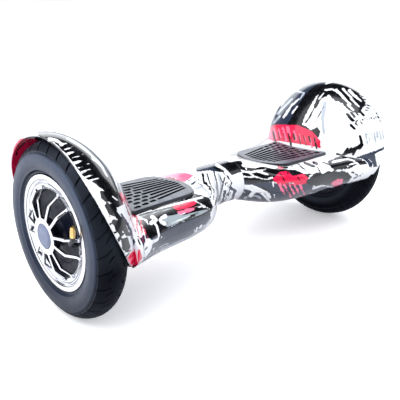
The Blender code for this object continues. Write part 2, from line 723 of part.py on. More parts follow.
def inner_tube(word, axis):
    """Hollow ring with one hole in its inner side, towards the valve."""
    tube = lathe(word + "_inner_tube", tube_section(TUBE_R), axis, RUBBER, TUBE_SEG)
    air = lathe(word + "_tube_air", tube_section(TUBE_R - TUBE_WALL), axis, steps=TUBE_SEG)
    vent = radial_cutter(word + "_tube_vent", axis, 0.002, 0.010, (.0850, 0, 0), 0)
    cut(tube, air, vent)


def make_rim(word, axis):
    rim = lathe(word + "_rim", RIM_PROFILE, axis, RIM)
    cut(rim, radial_cutter(word + "_valve_hole", axis, 0.0037, 0.0200,
                           ring_point(.0685, VALVE_ANGLE, VALVE_OUT), VALVE_ANGLE))


def spokes():
    """(hub, knee, ring) angles of the spokes, in pairs that close up towards the ring."""
    rows = []
    for k in range(SPOKE_PAIRS):
        middle = FIRST_PAIR + 60 * k
        for hand in (-1, 1):
            rows.append([math.radians(middle + hand * spread) for spread in SPOKE_SPREAD])
    return rows


def cover_windows():
    """Outlines of the windows between neighbouring spokes."""
    rows, windows = spokes(), []
    for i, row in enumerate(rows):
        following = rows[(i + 1) % len(rows)]
        turn = math.tau if i == len(rows) - 1 else 0.0
        start = [a + SPOKE_HALF / r for a, r in zip(row, SPOKE_RADII)]
        end = [a + turn - SPOKE_HALF / r for a, r in zip(following, SPOKE_RADII)]
        windows.append(arc(R_RING, 4, start[2], end[2])
                       + [polar(R_KNEE, end[1]), polar(R_HUB, end[0]),
                          polar(R_HUB, start[0]), polar(R_KNEE, start[1])])
    return windows


def cover_rise(radius):
    """How far the cover stands outboard: raised hub, nearly level spokes, drop to the ring."""
    if radius <= R_HUB + 0.001:
        return COVER_HUB
    if radius <= R_KNEE:
        return COVER_HUB + (COVER_KNEE - COVER_HUB) * (radius - R_HUB) / (R_KNEE - R_HUB)
    return COVER_KNEE * max(0.0, (R_RING - 0.0002 - radius) / (R_RING - R_KNEE))


def wheel_cover(word, axis):
    """Pierced plate whose middle is drawn outboard over the hub."""
    outlines = [circle(.0825, 40), circle(.0176, 20, start=0.05)] + cover_windows()
    cover = plate(word + "_wheel_cover", outlines, COVER_THICK, CHROME, z=COVER_Z)
    for vert in cover.data.vertices:
        share = 1 if vert.co.z > COVER_Z else INNER_FACE_RISE
        vert.co.z += cover_rise(math.hypot(vert.co.x, vert.co.y)) * share
    cover.data.update()
    cover.parent = axis


def valve(word, axis):
    """Elbow valve stem from the rim out past the cover, with a brass cap in line with its end."""
    path = [ring_point(.0725, VALVE_ANGLE, VALVE_OUT), ring_point(.0575, VALVE_ANGLE, .0138),
            ring_point(.0555, VALVE_ANGLE, .0165), (.0552, .0010, .0225),
            (.0590, .0050, .0268), (.0658, .0122, .0268), (.0688, .0184, .0280)]
    wire(word + "_valve_stem", path, 0.0031, RUBBER, parent=axis)
    tip = Vector(path[-1])
    away = (tip - Vector(path[-2])).normalized()
    cap_length = .0180
    cap = cylinder(word + "_valve_cap", .0036, 0, cap_length, (0, 0), mat=BRASS, seg=12,
                   top=.0030)
    cap.parent = axis
    cap.location = tip + away * (GAP + cap_length / 2)
    cap.rotation_mode = "QUATERNION"
    cap.rotation_quaternion = away.to_track_quat("Z", "Y")


# ---------------------------------------------------------------- assembly
def body_half(side):
    """One half of the body without its mat and wheel; returns its bottom shell."""
    word, start = SIDE_WORD[side], NECK_END[side]
    axis = axle_frame(word + "_half_axis", side, 0.0)
    stations = [start] + [x for x in STATIONS if x > start + 0.004]
    inner = loft(word + "_body_inner", side, [start - 0.006] + stations[:-1] + [WALL_IN],
                 SHELL, inner=True)
    well, sweep = wheel_well(word, axis), arch_sweep(word, side)
    top_shell(word, side, axis, stations, inner, well, sweep)
    tray = bottom_shell(word, side, stations, inner, well, sweep)
    shell_screws(word, side, tray)

    groove = cylinder(word + "_axle_groove", AXLE_R + GAP, 0.19, 0.26, (0, AXLE_Z), "X",
                      side=side, seg=FINE_SEG)
    chassis = make_chassis(word, side, groove)
    axle_clamp(word, side, chassis, groove)
    sensor_board(word, side)
    make_axle(word, axis)
    make_stator(word, side)
    return tray


def wheel(side):
    word = SIDE_WORD[side]
    axis = axle_frame(word + "_wheel_axis", side, WHEEL_X)
    tyre(word, axis)
    inner_tube(word, axis)
    make_rim(word, axis)
    for name, profile, mat, steps in MOTOR_PARTS:
        lathe(f"{word}_{name}", profile, axis, mat, steps)
    wheel_cover(word, axis)
    spindle(word + "_hub_cap", HUB_CAP_PROFILE, axis, CAP, FINE_SEG)
    valve(word, axis)


trays = {side: body_half(side) for side in SIDE_WORD}
for side, word in SIDE_WORD.items():
    foot_mat(word, side)
neck()
battery_pack()
main_board()
power_button(trays[-1])
charge_port(trays[-1])
charge_cap()
for side in SIDE_WORD:
    wheel(side)
bpy.context.view_layer.update()
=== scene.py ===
"""Looks of a self balancing hoverboard: fine surfaces, procedural finishes, floor, light and camera.

The wheel axles lie along X, the left half at negative X. Z is up and the tyres stand on z = 0.
Lengths are in metres. Wheel profiles are (radius, distance outboard) about an axle line.
"""

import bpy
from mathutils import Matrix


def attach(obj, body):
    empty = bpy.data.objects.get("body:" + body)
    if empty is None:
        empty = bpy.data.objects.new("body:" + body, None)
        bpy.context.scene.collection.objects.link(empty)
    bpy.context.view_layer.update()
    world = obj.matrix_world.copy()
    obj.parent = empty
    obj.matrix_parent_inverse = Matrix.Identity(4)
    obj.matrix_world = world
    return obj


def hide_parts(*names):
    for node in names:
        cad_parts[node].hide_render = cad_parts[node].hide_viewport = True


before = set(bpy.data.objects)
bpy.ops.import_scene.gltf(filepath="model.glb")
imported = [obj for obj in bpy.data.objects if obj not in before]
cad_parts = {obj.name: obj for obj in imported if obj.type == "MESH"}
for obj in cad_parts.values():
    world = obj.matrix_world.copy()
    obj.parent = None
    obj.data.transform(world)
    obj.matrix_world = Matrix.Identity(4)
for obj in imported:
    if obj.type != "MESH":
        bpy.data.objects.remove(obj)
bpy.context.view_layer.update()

import math
from bisect import bisect_right
from collections import defaultdict
from functools import partial

import bmesh
import bpy
import numpy as np
from mathutils import Matrix, Vector

# ---------------------------------------------------------------- driving dimensions
TYRE_R, TYRE_W, TYRE_H = 0.127, 0.0516, 0.026
AXLE_Z, WHEEL_X, SKIN = TYRE_R, 0.289, 0.003
PART_Z, SEAM = 0.1100, 0.0003              # where the top shell meets the bottom one
NECK_LEFT, NECK_RIGHT, NECK_R = 0.0105, 0.0285, 0.0355
WALL_IN, WALL_OUT, BODY_END = 0.2505, 0.2535, 0.262
DOME_R, DOME_MAX_X, DOME_TIP_X, DOME_POWER = 0.1378, 0.300, 0.2133, 1.9
ARCH_EDGE_X, ARCH_EDGE_R, ARCH_SWEEP = 0.311, 0.1365, 0.0296
PLATFORM_Z, MAT_TOP, MAT_BOTTOM, MAT_FLOOR = 0.147, 0.1505, 0.1452, 0.1435
SCREWS = (0.0985, 0.2245)

# Body section along x, as (distance from the middle, value).
HALF_WIDTH = [(.010, NECK_R), (.0285, NECK_R), (.040, .043), (.055, .058), (.070, .073),
              (.085, .085), (.105, .094), (.140, .101), (.180, .106), (.210, .112),
              (.235, .122), (.262, .133)]
TOP_Z = [(.010, .1625), (.030, .1625), (.045, .161), (.060, .157), (.075, .152),
         (.090, .149), (.110, .1475), (.140, PLATFORM_Z), (.262, PLATFORM_Z)]
BOTTOM_Z = [(.010, .0915), (.0285, .0915), (.040, .088), (.055, .0835), (.070, .0795),
            (.085, .0770), (.105, .0755), (.140, .0745), (.200, .0755), (.235, .079),
            (.262, .083)]
MID_Z = [(.010, .127), (.262, .126)]
TOP_POWER = [(.010, 2.0), (.030, 2.0), (.060, 2.3), (.100, 3.0), (.262, 3.4)]
BOTTOM_POWER = [(.010, 2.0), (.030, 2.0), (.060, 2.1), (.100, 2.3), (.262, 2.5)]
TOP_WALL = [(.010, .003), (.060, .0035), (.085, .0085), (.105, .0070), (.140, .0055),
            (.262, .0055)]

# Camera: place and axes of a view from the front left, lens and sensor in millimetres.
EYE = (-0.63987, -0.67417, 0.42851)
EYE_RIGHT = (0.74259, -0.66942, -0.02096)
EYE_UP = (0.23832, 0.23487, 0.94236)
EYE_BACK = (-0.62591, -0.70478, 0.33395)
LENS, SENSOR, SHIFT_Y = 51.9867, 36, -0.0025


# ---------------------------------------------------------------- mesh helpers
def table(x, rows):
    """Smooth monotone curve through a table of (x, value), level beyond its ends."""
    xs, ys = [row[0] for row in rows], [row[1] for row in rows]
    if x <= xs[0]:
        return ys[0]
    if x >= xs[-1]:
        return ys[-1]
    rise = [(ys[i + 1] - ys[i]) / (xs[i + 1] - xs[i]) for i in range(len(xs) - 1)]
    slope = [rise[0]]
    for a, b in zip(rise, rise[1:]):
        slope.append(0.0 if a * b <= 0 else 2 * a * b / (a + b))
    slope.append(rise[-1])
    i = bisect_right(xs, x) - 1
    step = xs[i + 1] - xs[i]
    t = (x - xs[i]) / step
    return ((2 * t**3 - 3 * t**2 + 1) * ys[i] + (t**3 - 2 * t**2 + t) * step * slope[i]
            + (-2 * t**3 + 3 * t**2) * ys[i + 1] + (t**3 - t**2) * step * slope[i + 1])


def from_bmesh(name, bm):
    bmesh.ops.recalc_face_normals(bm, faces=bm.faces)
    mesh = bpy.data.meshes.new(name)
    bm.to_mesh(mesh)
    bm.free()
    obj = bpy.data.objects.new(name, mesh)
    bpy.context.scene.collection.objects.link(obj)
    return obj


def add_skin(bm, rings):
    """Capped skin over a row of equal rings of points."""
    rows = [[bm.verts.new(point) for point in ring] for ring in rings]
    for near, far in zip(rows, rows[1:]):
        for i in range(len(near)):
            j = (i + 1) % len(near)
            bm.faces.new((near[i], near[j], far[j], far[i]))
    bm.faces.new(rows[0])
    bm.faces.new(rows[-1])


def rings_mesh(name, rings):
    bm = bmesh.new()
    add_skin(bm, rings)
    return from_bmesh(name, bm)


def soften(points, reach, steps=3):
    """Closed profile whose corners are rounded off, each by at most this reach."""
    out = []
    for i, corner in enumerate(points):
        ends = []
        for other in (points[i - 1], points[(i + 1) % len(points)]):
            length = math.dist(corner, other)
            cut = min(reach, length * 0.45)
            ends.append([corner[j] + (other[j] - corner[j]) * cut / length for j in (0, 1)])
        before, after = ends
        for k in range(steps + 1):
            t = k / steps
            out.append(tuple((1 - t)**2 * before[j] + 2 * t * (1 - t) * corner[j]
                             + t * t * after[j] for j in (0, 1)))
    return out


def on_axle(side, x, r, angle, out):
    """World point at a radius, an angle and a distance outboard of an axle frame."""
    return (side * (x + out), side * r * math.cos(angle), AXLE_Z + r * math.sin(angle))


def turned(name, profile, side, x, steps, closed=True):
    """Solid turned about the axle line. An open profile starts and ends on the axis."""
    bm = bmesh.new()
    rows = []
    for r, out in profile:
        count = 1 if r < 1e-6 else steps
        rows.append([bm.verts.new(on_axle(side, x, r if count > 1 else 0.0,
                                          math.tau * k / steps, out)) for k in range(count)])
    pairs = list(zip(rows, rows[1:]))
    if closed:
        pairs.append((rows[-1], rows[0]))
    for near, far in pairs:
        for k in range(steps):
            j = (k + 1) % steps
            if len(near) == 1:
                bm.faces.new((near[0], far[j], far[k]))
            elif len(far) == 1:
                bm.faces.new((near[k], near[j], far[0]))
            else:
                bm.faces.new((near[k], near[j], far[j], far[k]))
    return from_bmesh(name, bm)


def spindle(name, points, side, x, steps):
    """Turned solid closed by flat ends."""
    profile = [(0.0, points[0][1])] + points + [(0.0, points[-1][1])]
    return turned(name, profile, side, x, steps, closed=False)


def block(name, low, high):
    bm = bmesh.new()
    bmesh.ops.create_cube(bm, size=1.0)
    for v in bm.verts:
        v.co = [low[i] if v.co[i] < 0 else high[i] for i in range(3)]
    return from_bmesh(name, bm)


def prism(name, outline, low, high):
    """Upright prism over a plan outline."""
    return rings_mesh(name, [[(x, y, z) for x, y in outline] for z in (low, high)])


def pin(name, radius, low, high, at, steps=32):
    turns = [math.tau * i / steps for i in range(steps)]
    return prism(name, [(at[0] + radius * math.cos(t), at[1] + radius * math.sin(t))
                        for t in turns], low, high)


def hoop(centre, across, over, radius, steps):
    """Circle of points in the plane of two unit vectors."""
    turns = [math.tau * k / steps for k in range(steps)]
    return [centre + (across * math.cos(t) + over * math.sin(t)) * radius for t in turns]


def shade(obj, angle=32):
    obj.data.shade_smooth()
    obj.data.set_sharp_from_angle(angle=math.radians(angle))
    return obj


def solve(obj, *steps, angle=32):
    """Carries out (operation, cutter) Booleans on a piece, drops the cutters and shades it."""
    for i, (operation, cutter) in enumerate(steps):
        mod = obj.modifiers.new("b%d" % i, "BOOLEAN")
        mod.operation, mod.object, mod.solver = operation, cutter, "MANIFOLD"
    graph = bpy.context.evaluated_depsgraph_get()
    mesh = bpy.data.meshes.new_from_object(obj.evaluated_get(graph))
    obj.modifiers.clear()
    obj.data = mesh
    for _, cutter in steps:
        bpy.data.objects.remove(cutter, do_unlink=True)
    return shade(obj, angle)


def piece(obj, body, slot, mat, node):
    obj.data.materials.clear()
    obj.data.materials.append(mat)
    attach(obj, body)
    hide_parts(node)


# ---------------------------------------------------------------- body surfaces
def evenly(first, second, count):
    """Points evenly spaced along a fine curve given by its two coordinates."""
    run = np.concatenate([[0], np.cumsum(np.hypot(np.diff(first), np.diff(second)))])
    at = np.linspace(0, run[-1], count)
    return list(zip(np.interp(at, run, first), np.interp(at, run, second)))


def section(x, inner, count):
    """(y, z) points of one body section, evenly spaced round its upper and lower halves."""
    width, top, low = table(x, HALF_WIDTH), table(x, TOP_Z), table(x, BOTTOM_Z)
    mid = table(x, MID_Z)
    if inner:
        width, top, low = width - SKIN, top - table(x, TOP_WALL), low + SKIN
    out = []
    for powers, height, first in ((TOP_POWER, top - mid, 0.0),
                                  (BOTTOM_POWER, mid - low, math.pi)):
        power = 2 / table(x, powers)
        turn = first + math.pi * np.linspace(0, 1, 361)
        cos, sin = np.cos(turn), np.sin(turn)
        y = np.sign(cos) * np.abs(cos)**power * width
        z = mid + np.sign(sin) * np.abs(sin)**power * height
        out += evenly(y, z, count // 2 + 1)[:-1]
    return out


def dome_radius(x, inset=0.0):
    """Radius of the wheel arch dome at a distance from the middle."""
    top, tip = DOME_R - inset, DOME_TIP_X + inset
    if x >= DOME_MAX_X:
        t = (x - DOME_MAX_X) / (ARCH_EDGE_X - DOME_MAX_X)
        return top - (DOME_R - ARCH_EDGE_R) * min(t, 1.0)**2
    u = (DOME_MAX_X - x) / (DOME_MAX_X - tip)
    return top * max(0.0, 1 - u**DOME_POWER)**(1 / DOME_POWER)


def dome_profile(start, stop, inset, count):
    """Dome profile (radius, x) between two stations, evenly spaced along its curve."""
    reach = DOME_MAX_X - (DOME_TIP_X + inset)
    first = math.acos((DOME_MAX_X - start) / reach)
    fine = [DOME_MAX_X - reach * math.cos(first + (math.pi / 2 - first) * i / 600)
            for i in range(601)]
    if stop < DOME_MAX_X:
        fine = [x for x in fine if x < stop] + [stop]
    else:
        fine += [DOME_MAX_X + (stop - DOME_MAX_X) * i / 20 for i in range(1, 21)]
    x = np.array(fine)
    r = np.array([dome_radius(v, inset) for v in fine])
    return evenly(r, x, count)


def arch_edge(z):
    """Outboard limit of the arch, sweeping inwards below the crown."""
    return ARCH_EDGE_X - ARCH_SWEEP * max(0.0, 1 - (z - AXLE_Z) / 0.1355)**2.23


def mat_outline(grow):
    """Plan outline of a foot mat: elliptic inner end, nearly straight sides, outer end
    hugging the arch. Grown outwards, less so near its middle lines."""
    inner_x, inner_w, outer_w, reach = 0.083, 0.060, 0.0625, 0.034
    side_y = outer_w - 0.0005
    middle_x, fade, arch_gap = 0.155, 0.02, 0.0055
    nose_steps, corner_steps, end_steps = 24, 5, 20

    def end_x(y):
        r = math.hypot(y, PLATFORM_Z - AXLE_Z)
        bulge = (1 - (r / DOME_R)**DOME_POWER)**(1 / DOME_POWER)
        return DOME_MAX_X - (DOME_MAX_X - DOME_TIP_X) * bulge - arch_gap

    half = []
    for i in range(nose_steps + 1):
        t = math.pi / 2 * i / nose_steps
        half.append((inner_x + reach - reach * math.cos(t), inner_w * math.sin(t)))
    for i in range(1, corner_steps):               # rounded outer corner
        t = math.pi / 2 * i / corner_steps
        half.append((end_x(outer_w) - .007 + .006 * math.sin(t),
                     side_y - .0045 * (1 - math.cos(t))))
    for i in range(2, end_steps + 1):
        y = outer_w * (1 - i / end_steps)
        half.append((end_x(y), y))
    out = []
    for x, y in half + [(x, -y) for x, y in reversed(half[1:-1])]:
        dx = x - middle_x
        out.append((x + grow * (1 if dx > 0 else -1) * min(1, abs(dx) / fade),
                    y + grow * max(-1, min(1, y / fade))))
    return out


def outer_form(name, side, neck, stations):
    """Outside of a whole body half, the neck's rim rounded off a little."""
    lip, shrink = 0.0008, .985
    ring = section(neck, False, 128)
    rows = [[(side * neck, y * shrink, AXLE_Z + (z - AXLE_Z) * shrink) for y, z in ring],
            [(side * (neck + lip), y, z) for y, z in ring]]
    rows += [[(side * x, y, z) for y, z in section(x, False, 128)]
             for x in stations if x > neck + 2 * lip]
    return rings_mesh(name, rows)


def inner_form(name, side, neck, stations):
    """Room inside the body, open at the neck and ending at the wheel wall."""
    places = [neck - .006] + [x for x in stations[::3] if x < WALL_IN - .002] + [WALL_IN]
    return rings_mesh(name, [[(side * x, y, z) for y, z in section(x, True, 72)]
                             for x in places])


def wheel_well(name, side):
    points = dome_profile(WALL_OUT, ARCH_EDGE_X, SKIN, 18)
    return spindle(name, points + [(points[-1][0], 0.345)], side, 0.0, 220)


def edge_cutter(name, side):
    """Everything outboard of the arch's swept edge."""
    points = [(arch_edge(z), z) for z in np.linspace(0.04, 0.262, 60)]
    points += [(ARCH_EDGE_X - 0.0004, 0.30), (0.36, 0.30), (0.36, 0.04)]
    return rings_mesh(name, [[(side * x, y, z) for x, z in points] for y in (-.2, .2)])


def shells(side, word):
    """Top and bottom shell of one half."""
    neck = NECK_LEFT if side < 0 else NECK_RIGHT
    stations = list(np.linspace(neck, BODY_END, int((BODY_END - neck) / 0.0027)))
    low_x, high_x = (-0.4, 0.001) if side < 0 else (-0.001, 0.4)
    tip = DOME_TIP_X + .0002
    arch = spindle("arch", dome_profile(tip, ARCH_EDGE_X, 0.0, 84), side, 0.0, 300)
    room = spindle("room", dome_profile(tip + SKIN, WALL_IN, SKIN, 20), side, 0.0, 120)
    hole = spindle("axle_hole", [(.0115, .24), (.0115, .262)], side, 0.0, 48)
    recess = prism("recess", [(side * x, y) for x, y in mat_outline(0.0006)],
                   MAT_FLOOR, MAT_FLOOR + .02)
    above = block("above", (low_x, -.2, PART_Z + SEAM / 2), (high_x, .2, .32))
    top = solve(outer_form(word + "_top_shell_surface", side, neck, stations),
                ("UNION", arch), ("INTERSECT", above),
                ("DIFFERENCE", inner_form("i1", side, neck, stations)),
                ("DIFFERENCE", room), ("DIFFERENCE", wheel_well("w1", side)),
                ("DIFFERENCE", edge_cutter("s1", side)), ("DIFFERENCE", hole),
                ("DIFFERENCE", recess))

    cutters = [inner_form("i2", side, neck, stations), wheel_well("w2", side),
               edge_cutter("s2", side)]
    for i, x in enumerate(SCREWS):
        z = table(x, BOTTOM_Z)
        cutters.append(pin("sh%d" % i, .0022, z - .01, z + .012, (side * x, 0)))
    if side < 0:
        cutters.append(pin("button_hole", .0069, .07, .0908, (-.068, -.026), 48))
        cutters.append(pin("port_hole", .0086, .07, .0960, (-.068, .026), 48))
    below = block("below", (low_x, -.2, 0), (high_x, .2, PART_Z - SEAM / 2))
    tray = solve(outer_form(word + "_bottom_shell_surface", side, neck, stations),
                 ("INTERSECT", below), *(("DIFFERENCE", cutter) for cutter in cutters))
    return top, tray


def mat_slots():
    """(row, start x, end x) of the slots in a foot mat, in nine rows that fan outwards."""
    gap, length, shortest = .0036, .0118, .008
    slots = []
    for row in range(-4, 5):
        start, far = .0925 + .0011 * row * row * .5, .2065 + .0006 * abs(row)
        stop = .156 + (.0085 if row % 2 else 0) + .0016 * abs(row)
        slots.append((row, start, stop))
        x = stop + gap
        while x + shortest < far:
            stop = min(x + length, far)
            slots.append((row, x, stop))
            x = stop + gap
    return slots


def slot_line(row, x):
    """Middle y and half width of a slot row at a station."""
    t = (x - .098) / (.207 - .098)
    return row * (.0083 + (.0128 - .0083) * t), .0025 + .0011 * t


def foot_mat(side, word):
    border = [(-.0006, MAT_BOTTOM), (0.0, MAT_BOTTOM + .0006), (0.0, MAT_TOP - .0014),
              (-.0004, MAT_TOP - .0005), (-.0012, MAT_TOP - .0001),
              (-.0022, MAT_TOP)]               # (grow, z)
    mat = rings_mesh(word + "_foot_mat_tread",
                     [[(side * x, y, z) for x, y in mat_outline(grow)] for grow, z in border])
    flare = .0007
    bm = bmesh.new()
    for row, start, stop in mat_slots():
        (y_start, half_start), (y_stop, half_stop) = slot_line(row, start), slot_line(row, stop)
        ring = []
        for mid_x, mid_y, half, first in (
                (start + half_start, y_start, half_start, math.pi / 2),
                (stop - half_stop, y_stop, half_stop, -math.pi / 2)):
            for i in range(7):
                t = first + math.pi * i / 6
                ring.append((mid_x + half * math.cos(t), mid_y + half * math.sin(t)))
        mid_x, mid_y = (sum(p[j] for p in ring) / len(ring) for j in (0, 1))
        wide = [(x + flare * (x - mid_x) / math.hypot(x - mid_x, y - mid_y),
                 y + flare * (1 if y > mid_y else -1)) for x, y in ring]
        levels = ((ring, -.0020), (ring, -.0006), (wide, .0002), (wide, .003))
        add_skin(bm, [[(side * x, y, MAT_TOP + lift) for x, y in points]
                      for points, lift in levels])
    return solve(mat, ("DIFFERENCE", from_bmesh("slots", bm)), angle=40)


# ---------------------------------------------------------------- wheel pieces
R_HUB, R_KNEE, R_RING = 0.0240, 0.0500, 0.0625
COVER_HUB, COVER_KNEE, COVER_TOP = 0.0128, 0.0103, 0.0207
SPOKE_SPREAD = (14.8, 12.6, 11.2)          # degrees off the pair's middle at hub, knee, ring
BEAD_R, RIM_R = 0.0823, 0.0815             # inner edge of the tyre's curve, edge of the rim
VALVE_ANGLE, VALVE_OUT = math.radians(-1.5), .0136


def cover_rise(r):
    """How far a spoke's top stands off the ring's face."""
    if r <= R_HUB + 0.001:
        return COVER_HUB
    if r <= R_KNEE:
        return COVER_HUB + (COVER_KNEE - COVER_HUB) * (r - R_HUB) / (R_KNEE - R_HUB)
    return COVER_KNEE * max(0.0, (R_RING - 0.0002 - r) / (R_RING - R_KNEE))


def spoke(name, side, hub, knee, ring):
    """Chamfered bar, level from the hub to a raised knee, then steeply down to the ring.
    The last three arguments are its angles at those places."""
    bend = ring - knee
    stops = [(.0188, hub), (R_HUB, hub), (.032, hub + (knee - hub) * .33),
             (.041, hub + (knee - hub) * .67), (R_KNEE - .0016, knee), (R_KNEE, knee),
             (R_KNEE + .0020, knee + bend * .16), (.0560, knee + bend * .5),
             (R_RING, ring), (.0668, ring)]               # (radius, angle)
    chamfer = .0008
    rings = []
    for r, angle in stops:
        half = .0023 if r > .03 else .0026
        deep = .0030 if r < .05 else .0026
        top = COVER_TOP + cover_rise(r)
        if r < .02 or r == R_KNEE:               # sunk at the root and the knee
            top -= .0003
        if r > R_RING:
            top -= .0006
        cos, sin = math.cos(angle), math.sin(angle)
        edge = [(half, -deep), (half, -chamfer), (half - chamfer * .35, -chamfer * .35),
                (half - chamfer, 0)]               # (sideways, outboard)
        row = [(-w, out) for w, out in edge] + edge[::-1]
        rings.append([(side * (WHEEL_X + top + out), side * (r * cos - sin * w),
                       AXLE_Z + r * sin + cos * w) for w, out in row])
    return rings_mesh(name, rings)


def arc_slot(name, side, first, last):
    """Cutter for a shallow arc slot in the polished ring, narrower at its ends."""
    rings = []
    for k in range(13):
        angle = math.radians(first + (last - first) * k / 12)
        end = .0018 * (1 - min(1, k / 2, (12 - k) / 2))
        low, high = .0702 + end, .0748 - end
        rings.append([on_axle(side, WHEEL_X, r, angle, out) for r, out in
                      ((low, .0184), (high, .0184), (high, .0230), (low, .0230))])
    return rings_mesh(name, rings)


def wheel_cover(side, word):
    """Polished ring and hub ring joined by six pairs of spokes."""
    hub = soften([(.0176, .0215), (.0176, .0335), (.0262, .0335), (.0262, .0300),
                  (.0240, .0215)], .0008)
    ring = soften([(.0825, .0184), (.0825, COVER_TOP), (.0762, COVER_TOP), (.0752, .0196),
                   (.0660, .0184), (.0640, .0180), (.0622, .0172), (.0622, .0156),
                   (.0660, .0160), (.0700, .0181)], .0005)
    body = turned(word + "_wheel_cover_polished", ring, side, WHEEL_X, 220)
    steps = [("UNION", turned("hub_ring", hub, side, WHEEL_X, 120))]
    for pair in range(6):
        for i, hand in enumerate((-1, 1)):
            angles = [math.radians(57 + 60 * pair + hand * v) for v in SPOKE_SPREAD]
            steps.append(("UNION", spoke("spoke%d" % (2 * pair + i), side, *angles)))
    for i, (first, last) in enumerate(((66, 92), (-98, -72))):
        steps.append(("DIFFERENCE", arc_slot("slot%d" % i, side, first, last)))
    return solve(body, *steps, angle=28)


TYRE_MIDDLE = TYRE_R - TYRE_H
MOULD_RINGS = ((-.0008, .0862, .0010), (.0009, .0890, .0014), (.0006, .1100, .0012),
               (-.0012, .1130, .0009))               # (height, radius, width) on the sidewall
LONG_CUT = ((26, 0), (40, 1.2), (54, 2.6), (66, 4.2), (75, 6.0))      # slanted over a shoulder
SHORT_CUT = ((80, 1.6), (74, 1.2), (66, -.8), (60, -2.6))             # near the tread's middle


def tyre_point(turn):
    """Radius, outboard distance and unit normal on the tyre's elliptic section."""
    half = TYRE_W / 2
    normal_r, normal_out = math.sin(turn) / TYRE_H, math.cos(turn) / half
    length = math.hypot(normal_r, normal_out)
    return (TYRE_MIDDLE + TYRE_H * math.sin(turn), half * math.cos(turn),
            normal_r / length, normal_out / length)


def groove(bm, side, path, width=.0026, depth=.0021, lift=.0012):
    """Tapered tread cut along (turn in the section, angle about the axle)."""
    rings = []
    for i, (turn, angle) in enumerate(path):
        r, out, normal_r, normal_out = tyre_point(turn)
        half = width / 2 * (0.35 if i in (0, len(path) - 1) else 1.0)
        rings.append([on_axle(side, WHEEL_X, r + normal_r * up, angle + across / r,
                              out + normal_out * up)
                      for across, up in ((-half, -depth), (half, -depth),
                                         (half * 1.25, lift), (-half * 1.25, lift))])
    add_skin(bm, rings)


def tyre(side, word):
    start = math.asin((BEAD_R - TYRE_MIDDLE) / TYRE_H)
    curve = []
    for i in range(42):
        r, out, normal_r, normal_out = tyre_point(start + (math.pi / 2 - start) * i / 42)
        bump = sum(height * math.exp(-((r - at) / width)**2)
                   for height, at, width in MOULD_RINGS)
        bump -= .0004 * math.exp(-((out - .0062) / .0008)**2)      # groove beside the crown
        curve.append((r + bump * normal_r, out + bump * normal_out))
    curve.append((TYRE_R, 0.0022))
    up = [(.0762, .0108), (.0762, .0158), (.0800, .0160), (.0819, .0163)] + curve
    inside = [(.0790, .0150), (.0960, .0208), (.1110, .0180), (.1190, .0085)]
    loop = (up + [(r, -out) for r, out in reversed(up)]
            + [(r, -out) for r, out in inside] + inside[::-1])
    body = turned(word + "_tyre_tread", loop, side, WHEEL_X, 216)
    bm = bmesh.new()
    for k in range(30):
        for flip in (1, -1):
            base = math.tau * k / 30 + (math.pi / 30 if flip < 0 else 0)
            for cut in (LONG_CUT, SHORT_CUT):
                path = [(math.radians(turn), base + math.radians(slant)) for turn, slant in cut]
                if flip < 0:
                    path = [(math.pi - turn, angle) for turn, angle in path]
                groove(bm, side, path)
    return solve(body, ("DIFFERENCE", from_bmesh("tread_cuts", bm)), angle=34)


def rim(side, word):
    profile = soften([(RIM_R, -.0180), (.0608, -.0180), (.0608, .0062), (.0090, .0062),
                      (.0090, .0098), (.0134, .0098), (.0134, .0300), (.0172, .0300),
                      (.0172, .0140), (.0200, .0100), (.0440, .0086), (.0452, .0096),
                      (.0590, .0100), (.0606, .0112), (.0610, .0150), (.0660, .0152),
                      (.0700, .0176), (RIM_R, .0178), (RIM_R, .0162), (.0752, .0162),
                      (.0690, .0070), (.0690, -.0070), (.0752, -.0162), (RIM_R, -.0162)],
                     .0005, 2)
    body = turned(word + "_rim_casting", profile, side, WHEEL_X, 160)
    near = Vector(on_axle(side, WHEEL_X, .0640, VALVE_ANGLE, VALVE_OUT))
    far = Vector(on_axle(side, WHEEL_X, .0800, VALVE_ANGLE, VALVE_OUT))
    along = (far - near).normalized()
    across = along.cross(Vector((1, 0, 0))).normalized()
    over = along.cross(across)
    rings = [hoop(place, across, over, .0037, 24) for place in (near - along * .006, far)]
    return solve(body, ("DIFFERENCE", rings_mesh("valve_way", rings)), angle=28)


def swept(name, side, points, radii):
    """Round bar through local wheel points (x, y, outboard) with a radius at each."""
    world_points = [Vector((side * (WHEEL_X + p[2]), side * p[0], AXLE_Z + p[1]))
                    for p in points]
    last = len(world_points) - 1
    up = Vector((0, 0, 1))
    rings = []
    for i, place in enumerate(world_points):
        along = (world_points[min(i + 1, last)] - world_points[max(i - 1, 0)]).normalized()
        across = (up - along * up.dot(along)).normalized()
        rings.append(hoop(place, across, along.cross(across), radii[i], 32))
    return shade(rings_mesh(name, rings), 40)


def curve_points(points, count):
    """Smooth run through a few points, this many steps between each two."""
    pts = [np.array(p, float) for p in points]
    out = []
    for i in range(len(pts) - 1):
        p0, p1, p2, p3 = pts[max(i - 1, 0)], pts[i], pts[i + 1], pts[min(i + 2, len(pts) - 1)]
        for k in range(count):
            t = k / count
            out.append(tuple(0.5 * (2 * p1 + (p2 - p0) * t + (2 * p0 - 5 * p1 + 4 * p2 - p3)
                                    * t * t + (3 * p1 - p0 - 3 * p2 + p3) * t**3)))
    out.append(tuple(pts[-1]))
    return out


